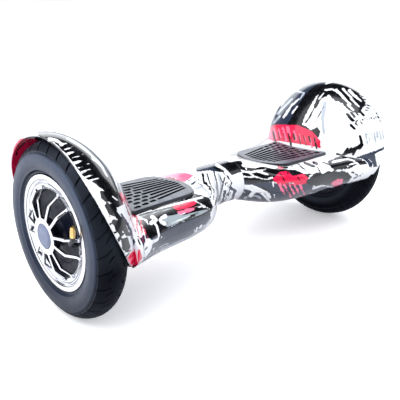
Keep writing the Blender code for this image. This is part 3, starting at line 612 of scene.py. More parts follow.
def valve(side, word):
    """Bent rubber stem and its brass cap."""
    cos, sin = math.cos(VALVE_ANGLE), math.sin(VALVE_ANGLE)
    path = [(r * cos, r * sin, out)
            for r, out in ((.0725, VALVE_OUT), (.0600, .0137), (.0566, .0148))]
    path += [(.0553, -.0004, .0180), (.0556, .0018, .0232), (.0590, .0053, .0265),
             (.0655, .0118, .0268), (.0688, .0184, .0280)]
    points = curve_points(path, 6)
    radii = [.0031 if i / (len(points) - 1) < .30 else .0033 for i in range(len(points))]
    radii[-1] = .0029
    stem = swept(word + "_valve_elbow", side, points, radii)
    end = np.array(path[-1])
    away = end - np.array(path[-2])
    away = away / np.linalg.norm(away)
    stations = [(.0003, .0030), (.0006, .0035), (.0060, .0036), (.0064, .0033),
                (.0070, .0033), (.0074, .0036), (.0110, .0035), (.0114, .0032),
                (.0120, .0032), (.0124, .0034), (.0172, .0031), (.0180, .0027),
                (.0183, .0018)]               # (distance past the stem's end, radius)
    cap = swept(word + "_valve_cap_brass", side, [tuple(end + away * s) for s, _ in stations],
                [r for _, r in stations])
    return stem, cap


def hub_cap(side, word):
    profile = [(0.0, .0306), (.0130, .0306), (.0164, .0307), (.0168, .0312), (.0171, .0330),
               (.0169, .0338), (.0164, .0344), (.0156, .0346), (.0151, .0345), (.0148, .0341),
               (.0144, .0341), (.0141, .0344), (.0120, .0346), (0.0, .0347)]
    return shade(turned(word + "_hub_cap_disc", profile, side, WHEEL_X, 96, closed=False), 40)


def collar():
    """Ring round the neck, its long outer face cut into short steps to carry the print."""
    profile = soften([(.0290, -.0165), (.0315, -.0165), (.0315, -.0097), (.0345, -.0097),
                      (.0353, .0278), (.0315, .0278), (.0315, .0345), (.0290, .0345)], .0006)
    out = []
    for i, (r, x) in enumerate(profile):
        out.append((r, x))
        far = profile[(i + 1) % len(profile)]
        if math.dist((r, x), far) > .01 and r > .034:
            out += [(r + (far[0] - r) * k / 14, x + (far[1] - x) * k / 14)
                    for k in range(1, 14)]
    return shade(turned("neck_collar_surface", out, 1, 0.0, 160))


# ---------------------------------------------------------------- node graphs
class Graph:
    """Small builder for a node tree."""

    def __init__(self, tree):
        self.tree = tree
        tree.nodes.clear()

    def node(self, kind, **props):
        made = self.tree.nodes.new("ShaderNode" + kind)
        for key, value in props.items():
            setattr(made, key, value)
        return made

    def put(self, socket, value):
        if isinstance(value, bpy.types.NodeSocket):
            self.tree.links.new(value, socket)
        elif isinstance(value, (tuple, list)) and len(value) == 3 and socket.type == "RGBA":
            socket.default_value = (*value, 1.0)
        else:
            socket.default_value = value

    def math(self, op, a, b=0.0, *rest):
        n = self.node("Math", operation=op)
        for socket, value in zip(n.inputs, (a, b, *rest)):
            self.put(socket, value)
        return n.outputs[0]

    def times(self, a, b):
        return self.math("MULTIPLY", a, b)

    def split(self, vector):
        n = self.node("SeparateXYZ")
        self.put(n.inputs[0], vector)
        return n.outputs

    def span(self, value, low, high, out_low=0.0, out_high=1.0, **props):
        """Carries low..high over to out_low..out_high."""
        n = self.node("MapRange", clamp=True, **props)
        for i, v in enumerate((value, low, high, out_low, out_high)):
            self.put(n.inputs[i], v)
        return n.outputs[0]

    def mix(self, amount, a, b):
        n = self.node("Mix", data_type="RGBA")
        for i, v in ((0, amount), (6, a), (7, b)):
            self.put(n.inputs[i], v)
        return n.outputs[2]


class Finish(Graph):
    """Builder for a procedural material."""
    INPUTS = dict(color="Base Color", rough="Roughness", metal="Metallic", normal="Normal",
                  coat="Coat Weight", coat_rough="Coat Roughness", coat_normal="Coat Normal",
                  coat_tint="Coat Tint", sheen="Sheen Weight", sheen_tint="Sheen Tint",
                  sheen_rough="Sheen Roughness", level="Specular IOR Level",
                  tint="Specular Tint", glow="Emission Color", glow_power="Emission Strength")

    def __init__(self, name):
        self.mat = bpy.data.materials.new(name)
        self.mat.use_nodes = True
        super().__init__(self.mat.node_tree)
        out = self.node("OutputMaterial")
        self.shader = self.node("BsdfPrincipled")
        self.put(out.inputs[0], self.shader.outputs[0])
        self.place = self.node("TexCoord").outputs["Object"]

    def math(self, op, a, b=0.0):
        return super().math(op, a, b, 0.0)

    def noise(self, scale, detail=3, rough=.6, at=None, warp=0.0):
        n = self.node("TexNoise")
        for key, value in (("Vector", at or self.place), ("Scale", scale), ("Detail", detail),
                           ("Roughness", rough), ("Distortion", warp)):
            self.put(n.inputs[key], value)
        return n.outputs["Fac"]

    def patches(self, low=.3, high=.7, to=(0.0, 1.0), **noise):
        """Noise between two levels, carried over to a range."""
        return self.span(self.noise(**noise), low, high, *to)

    def field(self, gain, zero, **noise):
        """Noise turned into a signed field that crosses nought at this level."""
        return self.times(self.math("SUBTRACT", self.noise(**noise), zero), gain)

    def moved(self, scale=(1, 1, 1), turn=(0, 0, 0), shift=(0, 0, 0)):
        n = self.node("Mapping")
        self.put(n.inputs["Vector"], self.place)
        n.inputs["Location"].default_value = shift
        n.inputs["Rotation"].default_value = turn
        n.inputs["Scale"].default_value = scale
        return n.outputs[0]

    def blend(self, amount, a, b):
        n = self.node("Mix", data_type="FLOAT")
        for i, v in ((0, amount), (2, a), (3, b)):
            self.put(n.inputs[i], v)
        return n.outputs[0]

    def wheel_radius(self):
        """Distance from the axle line."""
        parts = self.split(self.place)
        y, z = parts[1], self.math("SUBTRACT", parts[2], AXLE_Z)
        return self.math("SQRT", self.math("ADD", self.times(y, y), self.times(z, z)))

    def ring_place(self, radial, along):
        """Noise coordinates that follow turned rings: first across the ring, then round it."""
        parts = self.split(self.place)
        angle = self.math("ARCTAN2", parts[1], self.math("SUBTRACT", AXLE_Z, parts[2]))
        made = self.node("CombineXYZ")
        self.put(made.inputs[0], self.times(self.wheel_radius(), radial))
        self.put(made.inputs[1], self.times(angle, along))
        self.put(made.inputs[2], self.math("SIGN", parts[0]))
        return made.outputs[0]

    def geometry(self, output):
        return self.split(self.node("NewGeometry").outputs[output])

    def upward(self, low, high):
        """0 to 1 as a face turns towards the sky."""
        return self.span(self.geometry("Normal")[2], low, high)

    def outboard(self, low, high):
        """0 on the inner side of a wheel, 1 on its outer side."""
        return self.span(self.math("ABSOLUTE", self.split(self.place)[0]), low, high)

    def openness(self, reach, low, high):
        """1 on open faces, falling to 0 at the bottom of slots and corners."""
        n = self.node("AmbientOcclusion", samples=8, only_local=True)
        self.put(n.inputs["Distance"], reach)
        return self.span(n.outputs["AO"], low, high)

    def line(self, value, at, half, fade):
        """1 on a thin ring of a value, fading to 0."""
        off = self.math("ABSOLUTE", self.math("SUBTRACT", value, at))
        return self.span(off, half, half + fade, 1, 0)

    def attr(self, name):
        return self.node("Attribute", attribute_name=name).outputs["Fac"]

    def bump(self, height, strength, distance, under=None):
        n = self.node("Bump")
        self.put(n.inputs["Height"], height)
        n.inputs["Strength"].default_value = strength
        n.inputs["Distance"].default_value = distance
        if under:
            self.put(n.inputs["Normal"], under)
        return n.outputs[0]

    def set(self, **values):
        for key, value in values.items():
            self.put(self.shader.inputs[self.INPUTS[key]], value)
        return self.mat


# ---------------------------------------------------------------- finishes
# Inks from the lowest layer up: colour, and how much noise frays the edges of their marks. The glint
# layer is no ink: it is painted reflection and highlight, laid over the black.
INKS = {
    "slate": ((.028, .038, .068), .8), "pale": ((.42, .455, .50), .40),
    "black": ((.0022, .0022, .0030), .8), "glint": ((.33, .37, .39), .2),
    "crimson": ((.74, .008, .055), .3), "pink": ((1.0, .17, .29), .8),
    "white": ((.93, .915, .90), .40), "fine": ((.0022, .0022, .0030), .40),
}
# Second tones, laid in patches over some inks.
MOTTLES = {
    "crimson": ((.86, .015, .085), dict(scale=120, low=.4, high=.65)),
    "black": ((.012, .013, .018), dict(scale=90, detail=2, rough=.5, low=.45, high=.75)),
    "slate": ((.022, .030, .054), dict(scale=60, low=.35, high=.7)),
}
# Blotches where no marks are laid out: (gain, zero level, noise detail, roughness and warp),
# then (scale, turn, shift) of the noise's place.
BLOTCHES = {
    "slate": ((150, .53, 3, .55, 1.4), ((14, 15, 22), (.2, -.7, .3), (3, 1, 2))),
    "black": ((160, .50, 3, .6, 1.2), ((7, 26, 16), (.5, .3, .6), (0, 0, 0))),
    "crimson": ((200, .615, 2, .5, .8), ((9, 12, 11), (0, .4, 1.1), (7, 2, 5))),
    "pink": ((200, .655, 2, .5, 1.0), ((13, 9, 12), (.8, .2, .1), (1, 9, 4))),
    "white": ((180, .60, 4, .6, 2.2), ((17, 34, 17), (.9, .3, -.5), (4, 4, 1))),
    "fine": ((180, .635, 4, .65, 1.6), ((42, 17, 30), (.1, .9, .5), (8, 3, 3))),
}


def printed():
    """Glossy printed shell: off-white ground under ink layers, clear coat on top.

    Each ink has a field, positive inside its marks."""
    f = Finish("print_on_shell")
    jag = f.math("ADD", f.field(gain=13, zero=.5, scale=260),
                 f.field(gain=12, zero=.5, scale=75, detail=2, rough=.5))
    seen = f.attr("seen")
    colour = f.mix(f.patches(scale=38, low=.35, high=.65), INKS["white"][0], (.83, .83, .84))
    for ink, (tone, fray) in INKS.items():
        spare = -20.0
        if ink in BLOTCHES:
            (gain, zero, detail, rough, warp), place = BLOTCHES[ink]
            spare = f.field(gain, zero, scale=1.0, detail=detail, rough=rough,
                            at=f.moved(*place), warp=warp)
        laid = f.math("ADD", f.attr("ink_" + ink), f.times(jag, fray))
        inside = f.span(f.blend(seen, spare, laid), -.7, .7)
        if ink in MOTTLES:
            second, patches = MOTTLES[ink]
            tone = f.mix(f.patches(**patches), tone, second)
        colour = f.mix(inside, colour, tone)
    peel = f.bump(f.noise(330, detail=2, rough=.5), strength=.05, distance=.0006)
    scuff = f.patches(scale=1.0, rough=.7, at=f.moved((220, 40, 40), (.3, .2, .9)),
                      low=.60, high=.75, to=(0, .10))
    return f.set(color=colour, rough=f.math("ADD", f.patches(scale=45, to=(.16, .26)), scuff),
                 normal=peel, coat=.75, coat_rough=.025, coat_normal=peel, level=.30,
                 coat_tint=(.92, .95, 1.0))


def moulded_rubber():
    f = Finish("moulded_rubber")
    dust = f.patches(scale=70, detail=5, rough=.65, low=.42, high=.70)
    # Painted shade: ambient occlusion darkens hollows and corners of the rubber nearly to black.
    open_to_light = f.openness(reach=.007, low=.45, high=.85)
    face = f.mix(f.times(dust, .6), (.010, .011, .016), (.020, .023, .032))
    swell = f.bump(f.noise(120, detail=2, rough=.5), strength=.08, distance=.0006)
    return f.set(color=f.mix(open_to_light, (.0012, .0013, .0018), face),
                 rough=f.patches(scale=140, to=(.32, .46)),
                 normal=f.bump(f.noise(1100), strength=.16, distance=.0004, under=swell),
                 sheen=.05, sheen_tint=(.5, .6, .9), sheen_rough=.35, level=f.times(open_to_light, .5))


def mat_finish():
    """Foot mat rubber: grey-blue ridge tops with worn patches, their light tone partly a painted
    sheen; slots painted black and the rolled border painted dark as shade.
    """
    f = Finish("ridged_mat_rubber")
    # Painted shade: ambient occlusion turns the slots black.
    open_to_light = f.openness(reach=.006, low=.62, high=.93)
    # Painted shade: faces turned away from the sky, such as the rolled border, are darkened.
    top = f.upward(.90, .985)
    wear = f.patches(scale=60, detail=4, rough=.65, low=.38, high=.66)
    # Painted sheen in part: the light grey-blue ridge tone stands for light on the ridge tops; the
    # worn patches are real.
    ridge = f.mix(wear, (.060, .069, .094), (.105, .118, .150))
    face = f.mix(top, (.012, .014, .022), ridge)
    return f.set(color=f.mix(open_to_light, (.0008, .0008, .0012), face),
                 rough=f.patches(scale=150, to=(.26, .40)), level=f.times(open_to_light, .55),
                 normal=f.bump(f.noise(1200), strength=.14, distance=.0003),
                 sheen=.04, sheen_tint=(.5, .6, .9))


def tyre_finish():
    """Road rubber: outer sidewall with mould rings, matt black tread and inner wall. The sidewall's
    blue-grey is a painted sheen, and the sidewall is painted darker as shade near the floor, where
    it faces down and along the mould rings.
    """
    f = Finish("tyre_tread_rubber")
    r = f.wheel_radius()
    wall = f.times(f.span(r, .1115, .1150, 1, 0), f.outboard(.284, .290))
    dust = f.patches(scale=60, detail=5, rough=.65, low=.42, high=.72)
    tread = f.mix(f.times(dust, .5), (.0030, .0032, .0044), (.0085, .0092, .0125))
    # Painted sheen: the blue-grey of the outer sidewall stands for the pale floor mirrored in black
    # rubber; its dust patches are real.
    flank = f.mix(dust, (.024, .032, .056), (.032, .043, .074))
    height = f.geometry("Position")[2]
    # Painted shade: the sidewall darkens near the floor and where it faces down.
    flank = f.mix(f.span(height, .0, .15), (.008, .011, .022), flank)      # darker near the floor
    flank = f.mix(f.upward(-.50, .35), (.008, .011, .020), flank)
    # Painted shade: dark lines along the mould rings of the sidewall.
    rings = f.math("ADD", f.line(r, at=.0858, half=.0004, fade=.0006),
                   f.math("ADD", f.line(r, at=.1120, half=.0004, fade=.0005),
                          f.line(r, at=.0905, half=.0002, fade=.0003)))
    colour = f.mix(f.times(rings, .8), f.mix(wall, tread, flank), (.002, .002, .003))
    swell = f.bump(f.noise(160, detail=2, rough=.5), strength=.06, distance=.0005)
    tread_level = f.span(f.upward(-.15, .75), 0, 1, .03, .75)
    wall_level = f.times(f.upward(-.7, .25), f.span(height, .0, .19, .12, 1.1))
    return f.set(color=colour,
                 rough=f.blend(wall, f.patches(scale=120, to=(.44, .54)),
                               f.patches(scale=90, to=(.34, .44))),
                 normal=f.bump(f.noise(1500), strength=.16, distance=.0003, under=swell),
                 level=f.blend(wall, tread_level, wall_level),
                 tint=(.58, .72, 1.0), sheen=.04, sheen_tint=(.4, .5, .9))


def cover_finish():
    """Turned alloy: polished lip, satin cone with dark arc streaks painted as reflections, dark
    rings painted as shade at the lip's step and at the radius of the slots' inner edge, spokes with
    sides painted dark as shade.
    """
    f = Finish("polished_alloy")
    r = f.wheel_radius()
    cone = f.span(r, .0752, .0758, 1, 0)
    spoke_zone = f.span(r, .0618, .0624, 1, 0)
    outer = f.math("SUBTRACT", cone, spoke_zone)
    arcs = f.patches(scale=1.0, at=f.ring_place(620, 1.5), warp=.3, low=.50, high=.60)
    hair = f.patches(scale=1.0, detail=2, at=f.ring_place(2400, 2.2), low=.45, high=.62)
    swathe = f.patches(scale=1.0, detail=2, rough=.5, at=f.ring_place(90, 1.1),
                       low=.42, high=.60)
    colour = f.mix(f.times(outer, .45), (.95, .95, .97), (.70, .73, .80))
    colour = f.mix(f.times(hair, .18), colour, (.50, .53, .60))
    # Painted reflection: dark arc streaks, strong on the cone and faint elsewhere.
    streaks = f.times(f.times(arcs, swathe), f.blend(outer, .20, .85))
    colour = f.mix(streaks, colour, (.075, .085, .12))
    # Painted shade: dark rings at the lip's step and at the radius of the slots' inner edge.
    marks = f.math("ADD", f.line(r, at=.0757, half=.0003, fade=.0004),
                   f.line(r, at=.0702, half=.0003, fade=.0005))
    colour = f.mix(f.times(marks, .8), colour, (.05, .055, .075))
    # Painted shade: spoke sides that do not face outboard are darkened.
    facing_out = f.math("ABSOLUTE", f.geometry("Normal")[0])
    flank = f.times(spoke_zone, f.span(facing_out, .45, .80, 1, 0))
    colour = f.mix(f.times(flank, .9), colour, (.035, .040, .060))
    tool_marks = f.math("SINE", f.times(r, 9000))
    return f.set(color=colour, metal=1.0, rough=f.patches(scale=420, to=(.15, .26)),
                 normal=f.bump(tool_marks, strength=.02, distance=.0001))


def metal(name, tone, dark, rough, stretch=(1, 1, 1), grain=260, bump=.08):
    f = Finish(name)
    brushed = f.noise(grain, detail=4, rough=.65, at=f.moved(stretch))
    stain = f.patches(scale=55, low=.45, high=.75, to=(0, .6))
    return f.set(color=f.mix(stain, tone, dark), metal=1.0,
                 rough=f.span(brushed, .3, .7, rough * .75, rough * 1.3),
                 normal=f.bump(brushed, bump, distance=.0003), coat=0.0, coat_rough=.05)


def gloss(name, tone, other, rough, coat, level=.5):
    f = Finish(name)
    spots = f.patches(scale=95, detail=4, low=.40, high=.70)
    return f.set(color=f.mix(spots, tone, other), metal=0.0,
                 rough=f.patches(scale=150, to=(rough * .8, rough * 1.25)),
                 coat=coat, coat_rough=.06, level=level,
                 normal=f.bump(f.noise(500, detail=2, rough=.5), strength=.10, distance=.0003))


def board():
    f = Finish("solder_mask_board")
    brick = f.node("TexBrick")
    for key, value in {"Vector": f.place, "Scale": 90, "Color1": (.010, .12, .05),
                       "Color2": (.015, .17, .08), "Mortar": (.55, .42, .14),
                       "Mortar Size": .018}.items():
        f.put(brick.inputs[key], value)
    cells = f.node("TexVoronoi", feature="F1")
    f.put(cells.inputs["Vector"], f.place)
    f.put(cells.inputs["Scale"], 420)
    pads = f.span(cells.outputs["Distance"], .10, .14, 1, 0)
    return f.set(color=f.mix(f.times(pads, .7), brick.outputs["Color"], (.62, .60, .55)),
                 rough=f.patches(scale=300, detail=2, rough=.5, to=(.28, .5)),
                 coat=.4, coat_rough=.15, normal=f.bump(pads, strength=.3, distance=.0003))


def copper():
    f = Finish("enamelled_winding")
    wave = f.node("TexWave")
    for key, value in (("Vector", f.place), ("Scale", 220), ("Distortion", 1.2)):
        f.put(wave.inputs[key], value)
    turns = wave.outputs["Fac"]
    return f.set(color=f.mix(turns, (.36, .13, .05), (.72, .34, .16)), metal=1.0,
                 rough=f.span(turns, 0, 1, .5, .3),
                 normal=f.bump(turns, strength=.6, distance=.0005))


FINISH = {
    "printed_shell": printed(),
    "tyre_rubber": tyre_finish(),
    "black_rubber": moulded_rubber(),
    "mat_rubber": mat_finish(),
    "polished_cover": cover_finish(),
    "dark_rim": gloss("dark_rim_paint", tone=(.0045, .0060, .016), other=(.0095, .012, .028),
                      rough=.44, coat=.04, level=.22),
    "cast_aluminium": metal("cast_alloy", tone=(.56, .57, .59), dark=(.40, .41, .43),
                            rough=.5, grain=700, bump=.35),
    "steel": metal("brushed_steel", tone=(.55, .55, .57), dark=(.40, .40, .42), rough=.28,
                   stretch=(1, 14, 14), grain=300, bump=.12),
    "hub_cap_grey": gloss("hub_cap_satin", tone=(.150, .180, .290), other=(.180, .215, .330),
                          rough=.42, coat=.15),
    "brass": metal("turned_brass", tone=(.86, .58, .22), dark=(.62, .38, .12), rough=.26,
                   stretch=(1, 10, 10), grain=500, bump=.15),
    "copper_winding": copper(),
    "circuit_board": board(),
    "battery_wrap": gloss("heat_shrink_wrap", tone=(.010, .045, .20), other=(.014, .060, .26),
                          rough=.32, coat=.5),
    "bush_bronze": metal("sintered_bronze", tone=(.60, .40, .20), dark=(.40, .26, .12),
                         rough=.38, grain=900, bump=.3),
}

# ---------------------------------------------------------------- print layout
# Marks are thrown from the eye on to the surfaces through an upright sheet square to the view.
# It stands where the view is 800 mm wide. Sheet places are in millimetres from its middle,
# x to the right and y down. Every mark is abstract: blots, bars and strokes.
SHEET_AT = 800 * LENS / SENSOR
FIELD_GAIN = 2               # ink field for each millimetre inside a mark
NO_INK = -15                 # depth in millimetres where an ink has no marks
MARKS = defaultdict(list)    # (zone, ink): functions from sheet points to depth inside a mark


def to_sheet(points):
    away = points - np.array(EYE)
    depth = -(away @ np.array(EYE_BACK))
    return np.stack([SHEET_AT * (away @ np.array(EYE_RIGHT)) / depth,
                     -SHEET_AT * (away @ np.array(EYE_UP)) / depth], 1)


def to_segment(points, a, b):
    """Distance from a segment, and the share of it passed at the nearest place."""
    d = b - a
    t = np.clip(((points - a) @ d) / (d @ d), 0, 1)
    return np.hypot(*(points - a - t[:, None] * d).T), t


def stroke_depth(path, start, end, points):
    """Depth inside a pen line whose width runs from start to end."""
    best, count = np.full(len(points), 1e9), len(path) - 1
    for i in range(count):
        away, t = to_segment(points, path[i], path[i + 1])
        best = np.minimum(best, away - (start + (end - start) * (i + t) / count) / 2)
    return -best


def blot_depth(path, grow, points):
    """Depth inside a closed outline grown by a distance."""
    best = np.full(len(points), 1e9)
    inside = np.zeros(len(points), bool)
    for i in range(len(path)):
        a, b = path[i - 1], path[i]
        best = np.minimum(best, to_segment(points, a, b)[0])
        cross = (a[1] > points[:, 1]) != (b[1] > points[:, 1])
        at = (b[0] - a[0]) * (points[:, 1] - a[1]) / (b[1] - a[1] + 1e-12) + a[0]
        inside ^= cross & (points[:, 0] < at)
    return np.where(inside, best, -best) + grow


def blots(zone, ink, *outlines, grow=0.0):
    """Filled outlines, each a run of x, y."""
    for outline in outlines:
        path = np.array(outline, float).reshape(-1, 2)
        MARKS[zone, ink].append(partial(blot_depth, path, grow))


def strokes(zone, ink, *rows):
    """Pen lines, each its start width, its end width and a run of x, y."""
    for start, end, *places in rows:
        path = np.array(places, float).reshape(-1, 2)
        MARKS[zone, ink].append(partial(stroke_depth, path, start, end))


def slashes(zone, ink, middle, end, taper, rows):
    """Alike bent slashes. Each row is x, y, run, width; middle and end are shares of the run."""
    for x, y, run, width in rows:
        strokes(zone, ink, (width, width * taper, x, y, x + run * middle[0],
                            y + run * middle[1], x + run * end[0], y + run * end[1]))


def bars(zone, ink, start, stop, count, along, width, vary):
    """Row of short bars between two places, each running along a direction."""
    for i in range(count):
        t = i / (count - 1)
        grow = 1 + vary * math.sin(i * 2.4 + 1)
        wide = width * (1 + vary * math.cos(i * 1.7))
        x, y = start[0] + (stop[0] - start[0]) * t, start[1] + (stop[1] - start[1]) * t
        strokes(zone, ink, (wide, wide, x, y, x + along[0] * grow, y + along[1] * grow))


def squiggle(zone, ink, start, stop, waves, swing, width):
    """Wavy pen line."""
    dx, dy = stop[0] - start[0], stop[1] - start[1]
    run = math.hypot(dx, dy)
    places = []
    for i in range(waves * 8 + 1):
        t = i / (waves * 8)
        off = swing * math.sin(math.tau * waves * t) * (.7 + .3 * math.cos(5 * t))
        places += [start[0] + dx * t - dy / run * off, start[1] + dy * t + dx / run * off]
    strokes(zone, ink, (width, width, *places))


def hook(zone, ink, centre, radius, first, last, width, squeeze=1.0):
    """Part of a flattened ring between two angles in degrees, as a pen line."""
    places = []
    for i in range(13):
        t = math.radians(first + (last - first) * i / 12)
        places += [centre[0] + radius * math.cos(t),
                   centre[1] + radius * squeeze * math.sin(t)]
    strokes(zone, ink, (width, width, *places))


def left_arch_marks():
    zone = "left_arch"
    blots(zone, "slate",
          (-335.55, -139.11,  -286.655, -139.999,  -246.65, -121.33,  -206.645, -94.66,
           -175.53, -63.545,  -153.305, -31.541,  -144.415, -1.315,  -157.75, 7.575,
           -184.42, -31.541,  -224.425, -70.2125,  -259.985, -101.3275,  -299.99, -116.885))
    blots(zone, "black",
          (-337.328, -112.44,  -322.215, -134.665,  -291.1, -131.109,  -251.095, -110.662,
           -214.646, -84.881,  -184.42, -52.877,  -163.973, -19.095,  -152.416, 12.02,
           -168.418, 17.354,  -187.976, -6.649,  -207.534, -28.874,  -233.315, -44.876,
           -259.985, -76.88,  -288.8775, -101.772,  -313.325, -113.329),
          (-205.756, -22.651,  -191.532, -24.429,  -184.42, -14.65,  -193.31, -9.316,
           -201.311, -12.872),
          (-206.645, -3.093,  -193.31, -6.649,  -186.198, 1.352,  -195.977, 7.575),
          (-177.308, 26.244,  -167.529, 20.91,  -148.86, 45.802,  -139.081, 74.25,
           -148.86, 74.25,  -163.973, 43.135),
          (-142.637, 134.702,  -123.968, 128.479,  -117.745, 136.48,  -131.08, 147.148,
           -142.637, 145.37))
    blots(zone, "crimson",
          (-386.223, -14.65,  -382.667, -99.105,  -366.665, -120.441,  -335.55, -122.219,
           -313.325, -112.44,  -339.995, -85.77,  -357.775, -51.099,  -367.554, -14.65),
          (-147.082, 118.7,  -136.414, 106.254,  -120.412, 99.142,  -115.078, 118.7,
           -128.413, 136.48,  -139.97, 134.702))
    blots(zone, "white",
          (-212.868, -27.096,  -196.866, -21.762,  -182.642, -3.093,  -171.085, 17.354,
           -171.085, 38.69,  -148.86, 100.92,  -157.75, 114.255,  -193.31, 38.69,
           -215.535, -5.76))
    blots(zone, "fine",
          (-203.089, -19.095,  -185.309, -14.65,  -177.308, 1.352,  -186.198, 8.464,
           -198.644, -1.315),
          (-191.532, 14.687,  -174.641, 6.686,  -163.973, 20.021,  -169.307, 36.912,
           -182.642, 32.467),
          (-176.419, 45.802,  -157.75, 38.69,  -150.638, 60.026,  -160.417, 74.25,
           -169.307, 63.582),
          (-159.528, 81.362,  -144.415, 74.25,  -137.303, 95.586,  -147.082, 109.81,
           -155.972, 99.142), grow=-1)
    strokes(zone, "slate", (6, 4.5, -157.75, 29.8,  -139.97, 60.915,  -128.413, 99.142))
    # These pale streaks along the fender's top edge are painted highlight.
    strokes(zone, "pale",
            (6, 3.5, -265.319, -121.33,  -233.315, -101.772,  -203.978, -74.213,
             -181.753, -44.876),
            (3.5, 2, -191.532, -78.658,  -176.419, -57.322,  -167.529, -31.541))
    # Glint: short painted highlights.
    strokes(zone, "glint",
            (3.5, 2, -182.642, 28.022,  -169.307, 19.132),
            (3.5, 2, -174.641, 60.915,  -159.528, 48.469),
            (3.5, 2, -161.306, 92.919,  -147.082, 79.584),
            (3.5, 2, -152.416, 107.143,  -140.859, 96.475))
    strokes(zone, "pink",
            (2, 1, -353.33, -107.106,  -363.998, -81.325),
            (4.5, 3, -141.748, 125.812,  -131.08, 114.255))
    strokes(zone, "white",
            (6.5, 4.5, -301.768, -120.441,  -288.433, -117.774,  -276.876, -110.662),
            (4.5, 4, -292.878, -110.662,  -268.875, -88.437,  -246.65, -59.1,
             -230.648, -33.319,  -217.313, -9.316),
            (3, 2, -254.651, -116.885,  -226.203, -96.438,  -200.422, -70.657),
            (4.5, 2.5, -214.646, -81.325,  -196.866, -65.323,  -185.309, -44.876),
            (2.5, 2, -180.864, -60.876,  -169.307, -36.875,  -161.306, -11.983),
            (3.5, 2.5, -174.641, -4.871,  -163.973, 3.13),
            (3, 2, -132.858, 100.92,  -122.19, 123.145))
    slashes(zone, "white", middle=(.5, -.2), end=(1, -.4), taper=.4, rows=(
        (-278.654, -107.106, 11.557, 4.5), (-270.653, -98.216, 17.78, 3),
        (-263.541, -90.215, 13.335, 5.5), (-256.429, -80.436, 24.003, 3),
        (-250.206, -71.546, 16.002, 6), (-243.094, -62.656, 26.67, 3.5),
        (-236.871, -52.877, 17.78, 6), (-229.759, -43.098, 25.781, 3.5),
        (-222.647, -34.208, 19.558, 5.5), (-214.646, -25.318, 16.002, 3.5)))
    strokes(zone, "fine",
            (3, 1.5, -337.328, -120.441,  -348.885, -93.771),
            (3, 1.5, -348.885, -118.663,  -362.22, -89.326),
            (3, 1.5, -360.442, -110.662,  -368.443, -88.437),
            (3, 1.5, -324.882, -118.663,  -338.217, -94.66),
            (3, 1.5, -366.665, -94.66,  -370.221, -67.99),
            (3, 2, -131.08, 60.915,  -119.523, 92.03))
    for x, y, dx, dy, width in (               # bent dark slashes rising to the right
            (-188.865, 14.687, 13.335, -11.557, 5.5), (-181.753, 35.134, 11.557, -13.335, 4),
            (-179.086, 51.136, 17.78, -17.78, 6), (-171.085, 68.027, 15.113, -14.224, 5),
            (-164.862, 84.918, 16.002, -19.558, 6.5), (-157.75, 103.587, 15.113, -17.78, 6),
            (-148.86, 117.811, 11.557, -15.113, 5)):
        strokes(zone, "fine", (width, width * .4, x, y, x + dx * .3 + 2.667, y + dy * .6,
                               x + dx, y + dy))


def arch_foot_marks():
    """Sheaf of thin streaks along the foot of the left arch, running on to the body."""
    for zone in ("left_arch", "left_body"):
        for k in range(5):
            strokes(zone, "crimson",
                    ((4 + k % 2) / 2, 1.5, -160.959 + 4.039 * k, -14.335 + 2.308 * k,
                     -147.688 + 6.0585 * k, 14.515 + 4.039 * k,
                     -133.84 + 6.924 * k, 52.02 + 5.193 * k,
                     -123.454 + 5.77 * k, 83.755 + 1.731 * k))
        for k in (1, 3):
            strokes(zone, "pink", (2, 1.5, -144.226 + 6.0585 * k, 26.055,
                                   -129.224 + 6.6355 * k, 66.445))
            strokes(zone, "white", (2.5, 2, -149.419 + 6.0585 * k, 17.4,
                                    -136.725 + 6.6355 * k, 52.02, -126.339 + 5.77 * k, 77.985))
        for k in (0, 2, 4):
            strokes(zone, "fine", (2, 1, -151.727 + 5.77 * k, 2.975,
                                   -138.456 + 6.6355 * k, 43.365))


